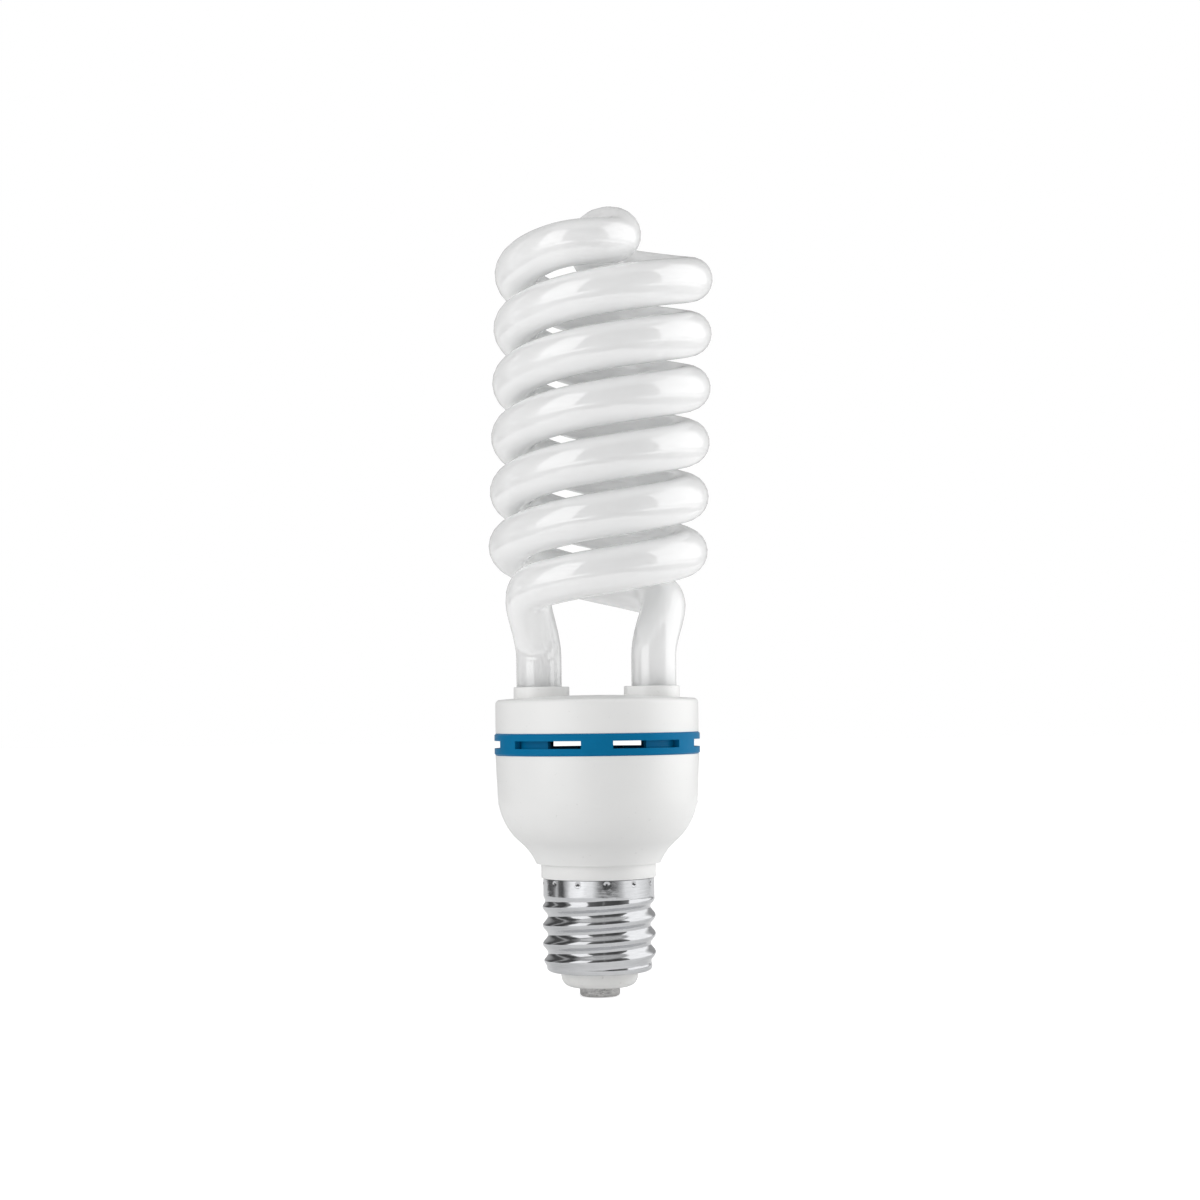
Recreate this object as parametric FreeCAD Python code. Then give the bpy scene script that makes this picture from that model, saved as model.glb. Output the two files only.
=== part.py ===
import FreeCAD, Part
import math
import os

# High-power compact fluorescent lamp with a coiled glass tube and a 40 mm screw cap.
# Millimetres. The lamp stands cap down on the Z axis, and the end contact's face is at Z = 0.
# X runs from one tube leg to the other, and -Y is the side seen from the front.

V = FreeCAD.Vector
UP = V(0, 0, 1)
os.makedirs("parts", exist_ok=True)

# Screw cap
thread_crest_diameter = 39.3
thread_root_diameter = 35.7
thread_pitch = 6.35
thread_crest_height = 14.9
thread_runout = 3.4
sections_per_turn = 8
shell_wall = 0.45
band_diameter = 38.6
band_length = 6.1
shell_height = 32.7
shell_lip_height = 1.7
shell_lip_opening = 26.8
lip_slope_rise = 0.3
lip_flat_inset = 0.7
lip_bulge = 0.6
shell_end_diameter = 36.6
stake_count = 12
stake_first_angle = 8.2
stake_drop = 0.95
stake_radius = 1.1
stake_depth = 0.3

# End contact and insulator
contact_diameter = 14.0
contact_height = 3.2
contact_edge_radius = 1.1
contact_floor = 1.4
eyelet_diameter = 3.0
eyelet_bore = 2.0
eyelet_clearance = 0.1
eyelet_rim_width = 0.8
eyelet_rim_height = 0.4
insulator_foot_diameter = 17.8
insulator_bulge = 1.2
insulator_drop = 5.0
insulator_flange_diameter = 31.6
insulator_flange_height = 2.1
insulator_wall = 2.6
insulator_boss_height = 4.8

# Lower housing
housing_wall = 2.0
collar_diameter = 39.9
collar_height = 4.95
collar_wall = 3.0
lip_diameter = 43.6
lip_edge = 0.4
bowl_diameter = 69.6
rim_diameter = 70.8
bowl_arc_radius = 22.0
bowl_arc_angle = 49.5
flare_arc_angle = 24.4
bowl_side_height = 13.45
neck_clearance = 0.2
neck_wall = 1.7
neck_end_above_insulator = 3.5
ledge_count = 4
ledge_width = 3.0
ledge_height = 13.0
ledge_reach = 3.4

# Vent ring
ring_overhang = 0.3
ring_height = 7.5
ring_wall = 2.3
ring_chamfer = 0.5
window_count = 6
window_height = 2.6
window_angle = 42.6
front_angle = 270.0
tab_start_angle = 30.0
tab_end_angle = 62.0
tab_wall = 1.7
tab_clearance = 0.2
tab_rise = 3.4
tab_root_angle = 9.0
cut_margin = 1.0

# Upper cover
cover_inset = 0.4
cover_height = 11.7
cover_corner_radius = 1.6
cover_dome = 1.35
socket_height = 4.35
socket_depth = 8.7
socket_diameter = 19.4
socket_spacing = 38.4
socket_edge_radius = 0.5
socket_clearance = 0.4

# Glass tube
tube_diameter = 15.7
leg_spacing = 40.0
leg_straight_top = 117.0
coil_radius = 30.35
coil_pitch = 38.2
coil_first_height = 154.8
coil_start_angle = 230.0
coil_end_angle = 1310.0
coil_lean = 1.8
coil_lean_height = 120.0
knee_leg_pull = 35.0
knee_coil_pull = 35.0
crown_coil_pull = 37.2
crown_inset = 11.7
crown_angle = 280.5
crown_rise = 4.7
crown_heading = 66.0
crown_slope = 14.0
crown_start_pull = 26.8
crown_end_pull = 17.9
bridge_rise = 11.7
bridge_heading = 134.0
bridge_pull = 24.4
leg_end_above_rim = 5.2
pinch_length = 6.5
pinch_width = 13.0
pinch_thickness = 3.8
pinch_shoulder = 3.6

# Tube cement
cement_recess = 0.8
cement_bead_height = 1.6
cement_bead_width = 1.2

# Circuit board and lead wires
board_thickness = 1.6
board_clearance = 0.5
board_drop = 2.6
pin_width = 1.0
pin_rise = 5.0
lead_spacing = 6.4
lead_diameter = 0.6
lead_wrap_diameter = 2.2
lead_wrap_length = 3.0
lead_wrap_drop = 0.6
wire_diameter = 1.3
wire_bend_radius = 2.0

# Parts under the board, with places given from the lamp's axis
smoothing_diameter = 18.0
smoothing_length = 33.0
smoothing_edge_radius = 0.8
smoothing_groove_drop = 3.4
smoothing_groove_radius = 0.7
choke_centre_x = 18.6
choke_core_width = 25.0
choke_core_depth = 7.0
choke_core_height = 20.0
choke_limb = 7.0
choke_outer_limb = 3.2
choke_yoke = 3.3
choke_bobbin_wall = 1.0
choke_clearance = 0.15
choke_winding_depth = 16.0
choke_foot_height = 1.5
filter_radius = 20.0
filter_angle = 190.0
filter_diameter = 12.0
filter_length = 14.0
filter_flange = 2.0
filter_core_diameter = 6.0
filter_winding_diameter = 10.8
toroid_radius = 19.0
toroid_angle = 150.0
toroid_diameter = 10.0
toroid_bore = 5.0
toroid_height = 5.0
toroid_wrap_count = 3
toroid_wrap_width = 2.2
toroid_wrap_wall = 0.5
film_edge_radius = 0.6
heat_sink_width = 26.0
heat_sink_thickness = 1.5
heat_sink_height = 16.0
heat_sink_offset = 20.0
heat_sink_fin = 6.0
transistor_spacing = 13.0
transistor_width = 10.0
transistor_thickness = 4.4
transistor_height = 9.2
transistor_leg_length = 3.6
transistor_leg_width = 0.9
transistor_leg_spacing = 2.5
transistor_leg_setback = 2.6
transistor_tab_height = 6.2
transistor_tab_thickness = 1.3
transistor_hole_diameter = 3.6
diode_diameter = 3.6
diode_length = 7.0
diode_lead_diameter = 0.8
diode_lead_reach = 1.6
diode_offset_x = 18.6
diode_first_y = -14.6
diode_row_spacing = 4.0
fuse_diameter = 3.8
fuse_length = 9.0
fuse_cap_length = 2.0
fuse_cap_wall = 0.2
fuse_x = -28.2
fuse_y = 6.5
thermistor_diameter = 8.0
thermistor_thickness = 3.0
thermistor_radius = 25.0
thermistor_angle = 48.0
wire_route_radius = 12.4
live_wire_angle = 230.0
neutral_wire_angle = 310.0

# Film capacitors: length, thickness, height, distance from the axis, angle
film_capacitors = {
    "resonance_capacitor": (12.0, 6.0, 11.0, 21.0, 82.0),
    "coupling_capacitor": (10.0, 5.0, 9.0, 21.0, 118.0),
    "snubber_capacitor": (8.0, 3.5, 7.0, 14.0, 270.0),
}

# Edges longer or higher than this are taken as such
edge_tolerance = 0.01

# Levels worked out from the sizes above
shell_bottom = contact_height + insulator_drop
lip_top = shell_bottom + shell_lip_height
shell_top = shell_bottom + shell_height
band_bottom = shell_top - band_length
lip_roll = shell_lip_height - lip_slope_rise
lip_flat_radius = shell_end_diameter / 2 - lip_roll - lip_flat_inset
lip_flat_height = shell_bottom + lip_slope_rise
collar_top = shell_top + collar_height
thread_mid_radius = (thread_crest_diameter + thread_root_diameter) / 4
thread_amplitude = (thread_crest_diameter - thread_root_diameter) / 4
flare_start_height = collar_top + lip_edge
convex_sin = math.sin(math.radians(bowl_arc_angle))
convex_cos = math.cos(math.radians(bowl_arc_angle))
flare_sin = math.sin(math.radians(flare_arc_angle))
flare_cos = math.cos(math.radians(flare_arc_angle))
bowl_arc_centre_r = bowl_diameter / 2 - bowl_arc_radius
bowl_knee_r = bowl_arc_centre_r + bowl_arc_radius * convex_cos
flare_arc_radius = (bowl_knee_r - lip_diameter / 2) / (flare_cos - convex_cos)
bowl_knee_height = flare_start_height + flare_arc_radius * (convex_sin - flare_sin)
bowl_arc_height = bowl_knee_height + bowl_arc_radius * convex_sin
rim_height = bowl_arc_height + bowl_side_height
ring_top = rim_height + ring_height
ring_diameter = rim_diameter + 2 * ring_overhang
cover_diameter = ring_diameter - 2 * cover_inset
cover_top = ring_top + cover_height
socket_top = cover_top + socket_height
socket_bottom = cover_top - socket_depth
leg_end = ring_top + leg_end_above_rim
pinch_end = leg_end - pinch_length
coil_top = coil_first_height + coil_pitch * (coil_end_angle / 360 - 1)
board_top = rim_height - board_drop
board_bottom = board_top - board_thickness
insulator_top = shell_bottom + insulator_flange_height + shell_wall
neck_bottom = insulator_top + neck_end_above_insulator
insulator_boss_top = contact_height + insulator_boss_height


def save(name, shape):
    shape.exportStep("parts/" + name + ".step")


def cylinder(diameter, bottom, top, x=0.0, y=0.0):
    return Part.makeCylinder(diameter / 2, top - bottom, V(x, y, bottom))


def box(width, depth, bottom, top, x=0.0, y=0.0):
    return Part.makeBox(width, depth, top - bottom, V(x - width / 2, y - depth / 2, bottom))


def turned(shape, angle):
    result = shape.copy()
    result.rotate(V(0, 0, 0), UP, angle)
    return result


def polar(radius, angle, z=0.0):
    a = math.radians(angle)
    return V(radius * math.cos(a), radius * math.sin(a), z)


def section_arc(centre_r, centre_z, radius, start, end):
    """Arc in the half-plane of the axis, with angles in degrees from the +r direction."""
    angles = [math.radians(a) for a in (start, (start + end) / 2, end)]
    points = [V(centre_r + radius * math.cos(a), 0, centre_z + radius * math.sin(a)) for a in angles]
    return Part.Arc(*points).toShape()


def revolved(*pieces):
    """Solid of revolution about Z from (r, z) corners and arc edges, in order round the section."""
    edges = []
    last = None
    first = None
    for piece in pieces:
        start = piece.firstVertex(True).Point if isinstance(piece, Part.Edge) else V(piece[0], 0, piece[1])
        if last is not None and (start - last).Length > 1e-6:
            edges.append(Part.makeLine(last, start))
        if isinstance(piece, Part.Edge):
            edges.append(piece)
            last = piece.lastVertex(True).Point
        else:
            last = start
        first = start if first is None else first
    if (last - first).Length > 1e-6:
        edges.append(Part.makeLine(last, first))
    return Part.Face(Part.Wire(edges)).revolve(V(0, 0, 0), UP, 360)


def sector(inner_radius, outer_radius, bottom, top, start, end):
    """Curved block between two radii and two angles."""
    outer = Part.makeCylinder(outer_radius, top - bottom, V(0, 0, bottom), UP, end - start)
    inner = Part.makeCylinder(inner_radius, top - bottom, V(0, 0, bottom), UP, end - start)
    return turned(outer.cut(inner), start)


# Screw cap


def eased(share):
    share = min(max(share, 0.0), 1.0)
    return share * share * (3 - 2 * share)


def thread_section(height, inset):
    """The thread's level section is a plain circle that is set off its axis and turns once a pitch."""
    rise = eased((height - lip_top) / thread_runout)
    fall = eased((band_bottom - height) / thread_runout)
    offset = thread_amplitude * min(rise, fall)
    radius = shell_end_diameter / 2 * (1 - rise) + thread_mid_radius * rise
    radius = band_diameter / 2 * (1 - fall) + radius * fall
    turn = 360 * (height - thread_crest_height) / thread_pitch
    return Part.Wire(Part.makeCircle(radius - inset, polar(offset, turn, height)))


def thread_core(inset):
    turns = (band_bottom - lip_top) / thread_pitch
    count = round(turns * sections_per_turn)
    heights = [lip_top + (band_bottom - lip_top) * i / count for i in range(count + 1)]
    return Part.makeLoft([thread_section(h, inset) for h in heights], True, False)


def shell_lip():
    """Rolled-in end of the shell, which holds the insulator."""
    end_r = shell_end_diameter / 2
    out_and_down = V(1, 0, -1).normalize()
    top = V(end_r, 0, lip_top)
    flat = V(lip_flat_radius, 0, lip_flat_height)
    middle = (top + flat) * 0.5 + out_and_down * lip_bulge
    outer = Part.Arc(top, middle, flat).toShape()
    inner_end = flat + V(0, 0, shell_wall)
    inner = Part.Arc(inner_end, middle - out_and_down * shell_wall, top - V(shell_wall, 0, 0)).toShape()
    opening = shell_lip_opening / 2
    return revolved(outer, (opening, shell_bottom), (opening, shell_bottom + shell_wall), inner)


def stake_dents():
    """Dents that lock the shell to the neck."""
    reach = band_diameter / 2 + stake_radius - stake_depth
    height = shell_top - stake_drop - stake_radius / 2
    first = front_angle + stake_first_angle
    angles = [first + 360 * i / stake_count for i in range(stake_count)]
    return [Part.makeSphere(stake_radius, polar(reach, a, height)) for a in angles]


def cap_shell():
    tube = thread_core(0).cut(thread_core(shell_wall))
    bore = band_diameter - 2 * shell_wall
    band = cylinder(band_diameter, band_bottom, shell_top).cut(cylinder(bore, band_bottom, shell_top))
    return tube.fuse([shell_lip(), band]).cut(stake_dents())


def cap_insulator():
    opening = shell_lip_opening / 2
    flange_r = insulator_flange_diameter / 2
    foot_r = insulator_foot_diameter / 2
    slope = lip_slope_rise / (lip_flat_radius - opening)
    seat = shell_bottom + shell_wall
    seat_outer = seat + slope * (flange_r - opening)
    foot = V(foot_r, 0, contact_height)
    brim = V(opening, 0, shell_bottom)
    bulge_mid = (foot + brim) * 0.5 + V(insulator_bulge, 0, -insulator_bulge)
    bowl = Part.Arc(foot, bulge_mid, brim).toShape()
    bore_r = eyelet_diameter / 2 + eyelet_clearance
    boss_r = eyelet_diameter / 2 + eyelet_rim_width + eyelet_clearance
    floor = contact_height + insulator_wall
    return revolved(
        (bore_r, contact_height),
        bowl,
        (opening, seat),
        (flange_r, seat_outer),
        (flange_r, insulator_top),
        (opening, insulator_top),
        (foot_r, floor),
        (boss_r, floor),
        (boss_r, insulator_boss_top),
        (bore_r, insulator_boss_top),
    )


def centre_contact():
    radius = contact_diameter / 2
    edge = contact_edge_radius
    corner = section_arc(radius - edge, edge, edge, 270, 360)
    bore = eyelet_bore / 2
    rim = eyelet_diameter / 2 + eyelet_rim_width
    stem = eyelet_diameter / 2
    rim_top = insulator_boss_top + eyelet_rim_height
    return revolved(
        (0, 0),
        corner,
        (radius, contact_height),
        (stem, contact_height),
        (stem, insulator_boss_top),
        (rim, insulator_boss_top),
        (rim, rim_top),
        (bore, rim_top),
        (bore, contact_floor),
        (0, contact_floor),
    )


# Lower housing


def bowl_side(inset):
    """Flare and belly of the bowl, from the lip up to the rim, drawn inset from the outside."""
    flare_r = bowl_knee_r + flare_arc_radius * convex_cos
    flare_z = bowl_knee_height - flare_arc_radius * convex_sin
    flare = section_arc(
        flare_r, flare_z, flare_arc_radius + inset, 180 - flare_arc_angle, 180 - bowl_arc_angle
    )
    belly = section_arc(bowl_arc_centre_r, bowl_arc_height, bowl_arc_radius - inset, -bowl_arc_angle, 0)
    return [flare, belly, (rim_diameter / 2 - inset, rim_height)]


def reversed_side(pieces):
    result = []
    for piece in reversed(pieces):
        if isinstance(piece, Part.Edge):
            piece = piece.copy()
            piece.reverse()
        result.append(piece)
    return result


def lower_housing():
    collar_r = collar_diameter / 2
    band_bore = band_diameter / 2 - shell_wall
    neck_top_r = band_bore - neck_clearance
    neck_r = thread_root_diameter / 2 - shell_wall - neck_clearance
    collar_bore = collar_r - collar_wall
    neck_bore = neck_r - neck_wall
    step = neck_top_r - neck_r
    outline = [
        (neck_bore, neck_bottom),
        (neck_r, neck_bottom),
        (neck_r, band_bottom - step),
        (neck_top_r, band_bottom),
        (neck_top_r, shell_top),
        (collar_r, shell_top),
        (collar_r, collar_top),
        (lip_diameter / 2, collar_top),
    ]
    outline += bowl_side(0)
    solid = revolved((0, neck_bottom), *outline[1:], (0, rim_height))
    ledges = []
    for i in range(ledge_count):
        bar = box(ledge_reach * 2, ledge_width, board_bottom - ledge_height, board_bottom)
        bar.translate(V(rim_diameter / 2 - housing_wall, 0, 0))
        ledges.append(turned(bar, 360 * i / ledge_count).common(solid))
    inside = reversed_side(bowl_side(housing_wall))
    inside += [(collar_bore, shell_top + step), (collar_bore, band_bottom), (neck_bore, band_bottom - step)]
    return revolved(*outline, *inside).fuse(ledges)


# Vent ring


def vent_ring():
    outer = ring_diameter / 2
    inner = outer - ring_wall
    band = revolved(
        (inner, rim_height),
        (outer - ring_chamfer, rim_height),
        (outer, rim_height + ring_chamfer),
        (outer, ring_top - ring_chamfer),
        (outer - ring_chamfer, ring_top),
        (inner, ring_top),
    )
    middle = (rim_height + ring_top) / 2
    low = middle - window_height / 2
    high = middle + window_height / 2
    spacing = 360 / window_count
    for i in range(window_count):
        start = front_angle + spacing * (i + 0.5) - window_angle / 2
        end = start + window_angle
        band = band.cut(sector(inner - cut_margin, outer + cut_margin, low, high, start, end))
    wall_inside = min(rim_diameter / 2, cover_diameter / 2) - housing_wall
    tab_outer = min(wall_inside, inner) - tab_clearance
    tab_inner = tab_outer - tab_wall
    parts = []
    for middle_angle in (front_angle, front_angle + 180):
        for side in (-1, 1):
            far_end = middle_angle + side * tab_end_angle
            ends = sorted((middle_angle + side * tab_start_angle, far_end))
            root = sorted((far_end - side * tab_root_angle, far_end))
            parts.append(sector(tab_inner, tab_outer, board_top, ring_top + tab_rise, *ends))
            parts.append(sector(tab_inner, inner + ring_wall / 2, rim_height, ring_top, *root))
    return band.fuse(parts).removeSplitter()


# Upper cover


def upper_cover():
    radius = cover_diameter / 2
    corner = cover_corner_radius
    edge = cover_top - corner
    inner = radius - housing_wall
    dome_radius = ((radius - corner) ** 2 + cover_dome**2) / (2 * cover_dome)
    dome_edge = math.degrees(math.acos((radius - corner) / dome_radius))
    shell = revolved(
        (inner, ring_top),
        (radius, ring_top),
        section_arc(radius - corner, edge, corner, 0, 90),
        section_arc(0, cover_top + cover_dome - dome_radius, dome_radius, dome_edge, 90),
        (0, cover_top - housing_wall),
        (inner, cover_top - housing_wall),
    )
    bores = []
    bore = tube_diameter + 2 * socket_clearance
    bore_bottom = socket_bottom - cut_margin
    bore_top = socket_top + cut_margin
    for side in (-1, 1):
        socket = cylinder(socket_diameter, socket_bottom, socket_top, side * socket_spacing / 2)
        rim = [e for e in socket.Edges if e.BoundBox.ZMin > socket_top - edge_tolerance]
        shell = shell.fuse(socket.makeFillet(socket_edge_radius, rim))
        bores.append(cylinder(bore, bore_bottom, bore_top, side * leg_spacing / 2))
    return shell.cut(bores).removeSplitter()


def tube_cement(side):
    """Cement fills the gap round the leg and stands as a bead under the socket."""
    x = side * leg_spacing / 2
    bore = tube_diameter + 2 * socket_clearance
    bead_bottom = socket_bottom - cement_bead_height
    fill = cylinder(bore, socket_bottom, socket_top - cement_recess, x)
    bead = cylinder(bore + 2 * cement_bead_width, bead_bottom, socket_bottom, x)
    leg = cylinder(tube_diameter, bead_bottom, socket_top, x)
    return fill.fuse(bead).cut(leg).removeSplitter()


# Glass tube


def bend(start, start_pull, end, end_pull):
    """Smooth bend that leaves and arrives along the two pulls."""
    curve = Part.BezierCurve()
    curve.setPoles([start, start + start_pull / 3, end - end_pull / 3, end])
    return curve.toShape()


def coil(side):
    """Centre line of one spiral, which leans sideways a little on its straight leg."""
    turns = (coil_end_angle - coil_start_angle) / 360
    taper = 0
    spiral = Part.makeLongHelix(coil_pitch, coil_pitch * turns, coil_radius, taper)
    spiral.rotate(V(0, 0, 0), UP, coil_start_angle + (0 if side > 0 else 180))
    spiral.translate(V(0, 0, coil_first_height + coil_pitch * (coil_start_angle / 360 - 1)))
    spiral.rotate(V(0, 0, coil_lean_height), V(0, 1, 0), coil_lean)
    return spiral.Edges


def leaned(direction):
    return FreeCAD.Rotation(V(0, 1, 0), coil_lean).multVec(direction)


def leaned_place(place):
    centre = V(0, 0, coil_lean_height)
    return centre + leaned(place - centre)


def half_route(side):
    """Tube centre line from one leg's end up its spiral to the middle of the bridge."""
    x = -side * leg_spacing / 2
    foot = V(x, 0, leg_end)
    knee = V(x, 0, leg_straight_top)
    turns = coil(side)
    low, high = turns[0], turns[-1]
    coil_start = low.valueAt(low.FirstParameter)
    coil_end = high.valueAt(high.LastParameter)
    start_pull = low.tangentAt(low.FirstParameter) * knee_coil_pull
    end_pull = high.tangentAt(high.LastParameter) * crown_coil_pull
    crown = leaned_place(polar(side * (coil_radius - crown_inset), crown_angle, coil_top + crown_rise))
    level = polar(side * math.cos(math.radians(crown_slope)), crown_heading)
    climb = leaned(level + UP * math.sin(math.radians(crown_slope)))
    middle = leaned_place(V(0, 0, coil_top + bridge_rise))
    bridge_end_pull = leaned(polar(side * bridge_pull, bridge_heading))
    bends = [
        bend(knee, UP * knee_leg_pull, coil_start, start_pull),
        bend(coil_end, end_pull, crown, climb * crown_start_pull),
        bend(crown, climb * crown_end_pull, middle, bridge_end_pull),
    ]
    return [Part.makeLine(foot, knee), bends[0]] + turns + bends[1:]


def pinch(side):
    """Flattened seal that closes a leg's end."""
    x = -side * leg_spacing / 2
    round_end = Part.Wire(Part.makeCircle(tube_diameter / 2, V(x, 0, leg_end)))
    flat = Part.Ellipse(V(0, 0, 0), pinch_width / 2, pinch_thickness / 2).toShape()
    flat.rotate(V(0, 0, 0), UP, 90)
    upper = flat.copy()
    upper.translate(V(x, 0, leg_end - pinch_shoulder))
    lower = flat.copy()
    lower.translate(V(x, 0, pinch_end))
    shoulder = Part.makeLoft([round_end, Part.Wire(upper)], True, True)
    return shoulder.fuse(Part.makeLoft([Part.Wire(upper), Part.Wire(lower)], True, True))


def glass_tube():
    route = Part.Wire(half_route(1) + half_route(-1)[::-1])
    section = Part.Wire(Part.makeCircle(tube_diameter / 2, V(-leg_spacing / 2, 0, leg_end)))
    tube = route.makePipeShell([section], True, False)
    return tube.fuse([pinch(1), pinch(-1)])


# Circuit board, pins and leads


def lead_places():
    spots = []
    for side in (-1, 1):
        for row in (-1, 1):
            spots.append((side * leg_spacing / 2, row * lead_spacing / 2))
    return spots


def bowl_bore(height):
    """Inside diameter of the bowl's straight side at a height."""
    share = (height - bowl_arc_height) / bowl_side_height
    return bowl_diameter + (rim_diameter - bowl_diameter) * share - 2 * housing_wall


def circuit_board():
    narrowest = min(bowl_bore(board_bottom), bowl_bore(board_top))
    disc = cylinder(narrowest - 2 * board_clearance, board_bottom, board_top)
    holes = [box(pin_width, pin_width, board_bottom, board_top, x, y) for x, y in lead_places()]
    return disc.cut(holes)


def wrap_pins():
    return Part.makeCompound(
        [box(pin_width, pin_width, board_bottom, board_top + pin_rise, x, y) for x, y in lead_places()]
    )


def electrode_leads(side):
    """Two lead wires, each run straight down from the pinch and wrapped on its pin."""
    pin_top = board_top + pin_rise
    wrap_top = pin_top - lead_wrap_drop
    solids = []
    for x, y in lead_places():
        if x * side < 0:
            continue
        wire = cylinder(lead_diameter, pin_top, pinch_end, x, y)
        wrap = cylinder(lead_wrap_diameter, wrap_top - lead_wrap_length, pin_top + lead_diameter, x, y)
        wrap = wrap.cut(box(pin_width, pin_width, board_top, pin_top, x, y))
        solids.append(wire.fuse(wrap))
    return Part.makeCompound(solids)


# Parts under the board


def smoothing_capacitor():
    radius = smoothing_diameter / 2
    edge = smoothing_edge_radius
    bottom = board_bottom - smoothing_length
    groove = board_bottom - smoothing_groove_drop
    body = revolved(
        (0, bottom),
        section_arc(radius - edge, bottom + edge, edge, 270, 360),
        section_arc(radius - edge, board_bottom - edge, edge, 0, 90),
        (0, board_bottom),
    )
    ring_radius = radius + smoothing_groove_radius / 2
    return body.cut(Part.makeTorus(ring_radius, smoothing_groove_radius, V(0, 0, groove)))


def choke_levels():
    top = board_bottom - choke_foot_height
    return top - choke_core_height, top


def lamp_choke_core():
    bottom, top = choke_levels()
    low = bottom + choke_yoke
    high = top - choke_yoke
    body = box(choke_core_depth, choke_core_width, bottom, top, choke_centre_x)
    window = (choke_core_width - choke_limb) / 2 - choke_outer_limb
    for side in (-1, 1):
        y = side * (choke_limb + window) / 2
        body = body.cut(box(choke_core_depth, window, low, high, choke_centre_x, y))
    return body


def lamp_choke_bobbin():
    """Bobbin on the core's middle limb, with pins' rail above it standing on the board."""
    bottom, top = choke_levels()
    low = bottom + choke_yoke + choke_clearance
    high = top - choke_yoke - choke_clearance
    window = (choke_core_width - choke_limb) / 2 - choke_outer_limb
    flange_width = choke_limb + 2 * (window - choke_clearance)
    tube_depth = choke_core_depth + 2 * (choke_clearance + choke_bobbin_wall)
    tube_width = choke_limb + 2 * (choke_clearance + choke_bobbin_wall)
    body = box(tube_depth, tube_width, low, high, choke_centre_x)
    for start in (low, high - choke_bobbin_wall):
        end = start + choke_bobbin_wall
        body = body.fuse(box(choke_winding_depth, flange_width, start, end, choke_centre_x))
    rail_depth = (choke_winding_depth - choke_core_depth) / 2 - choke_clearance
    for side in (-1, 1):
        x = choke_centre_x + side * (choke_winding_depth - rail_depth) / 2
        body = body.fuse(box(rail_depth, flange_width, high - choke_bobbin_wall, board_bottom, x))
    limb_depth = choke_core_depth + 2 * choke_clearance
    limb_width = choke_limb + 2 * choke_clearance
    limb = box(limb_depth, limb_width, low, high, choke_centre_x)
    return body.cut(limb).removeSplitter()


def lamp_choke_winding():
    bottom, top = choke_levels()
    low = bottom + choke_yoke + choke_clearance + choke_bobbin_wall
    high = top - choke_yoke - choke_clearance - choke_bobbin_wall
    window = (choke_core_width - choke_limb) / 2 - choke_outer_limb
    width = choke_limb + 2 * (window - 2 * choke_clearance)
    depth = choke_winding_depth - 2 * choke_clearance
    body = box(depth, width, low, high, choke_centre_x)
    corners = [e for e in body.Edges if e.BoundBox.ZLength > edge_tolerance]
    body = body.makeFillet((depth - choke_core_depth) / 4, corners)
    tube_depth = choke_core_depth + 2 * (choke_clearance + choke_bobbin_wall)
    tube_width = choke_limb + 2 * (choke_clearance + choke_bobbin_wall)
    return body.cut(box(tube_depth, tube_width, low, high, choke_centre_x))


def filter_choke():
    """Drum core and the winding between its flanges."""
    centre = polar(filter_radius, filter_angle)
    bottom = board_bottom - filter_length
    low = bottom + filter_flange
    high = board_bottom - filter_flange
    waist = cylinder(filter_core_diameter, low, high, centre.x, centre.y)
    flanges = [
        cylinder(filter_diameter, bottom, low, centre.x, centre.y),
        cylinder(filter_diameter, high, board_bottom, centre.x, centre.y),
    ]
    winding = cylinder(filter_winding_diameter, low, high, centre.x, centre.y).cut(waist)
    return waist.fuse(flanges), winding


def drive_toroid():
    """Ring core lying flat on the board, and its three windings."""
    centre = polar(toroid_radius, toroid_angle)
    top = board_bottom - toroid_wrap_wall
    bottom = top - toroid_height
    core = cylinder(toroid_diameter, bottom, top, centre.x, centre.y)
    core = core.cut(cylinder(toroid_bore, bottom, top, centre.x, centre.y))
    span = (toroid_diameter - toroid_bore) / 2
    middle = (toroid_diameter + toroid_bore) / 4
    wraps = []
    for i in range(toroid_wrap_count):
        wrap = box(
            span + 2 * toroid_wrap_wall,
            toroid_wrap_width,
            bottom - toroid_wrap_wall,
            top + toroid_wrap_wall,
            middle,
        )
        wrap = turned(wrap, toroid_angle + 360 * (i + 0.5) / toroid_wrap_count)
        wrap.translate(centre)
        wraps.append(wrap.cut(core))
    return core, Part.makeCompound(wraps)


def film_capacitor(length, thickness, height, radius, angle):
    body = box(thickness, length, board_bottom - height, board_bottom, radius)
    sides = [e for e in body.Edges if e.BoundBox.ZLength > edge_tolerance]
    return turned(body.makeFillet(film_edge_radius, sides), angle)


def heat_sink():
    """Bent plate that stands across the board with a fin at each end."""
    bottom = board_bottom - heat_sink_height
    y = -heat_sink_offset
    plate = box(heat_sink_width, heat_sink_thickness, bottom, board_bottom, 0, y)
    for side in (-1, 1):
        x = side * (heat_sink_width - heat_sink_thickness) / 2
        fin_y = y + (heat_sink_fin - heat_sink_thickness) / 2
        plate = plate.fuse(box(heat_sink_thickness, heat_sink_fin, bottom, board_bottom, x, fin_y))
    return plate.removeSplitter()


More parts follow.
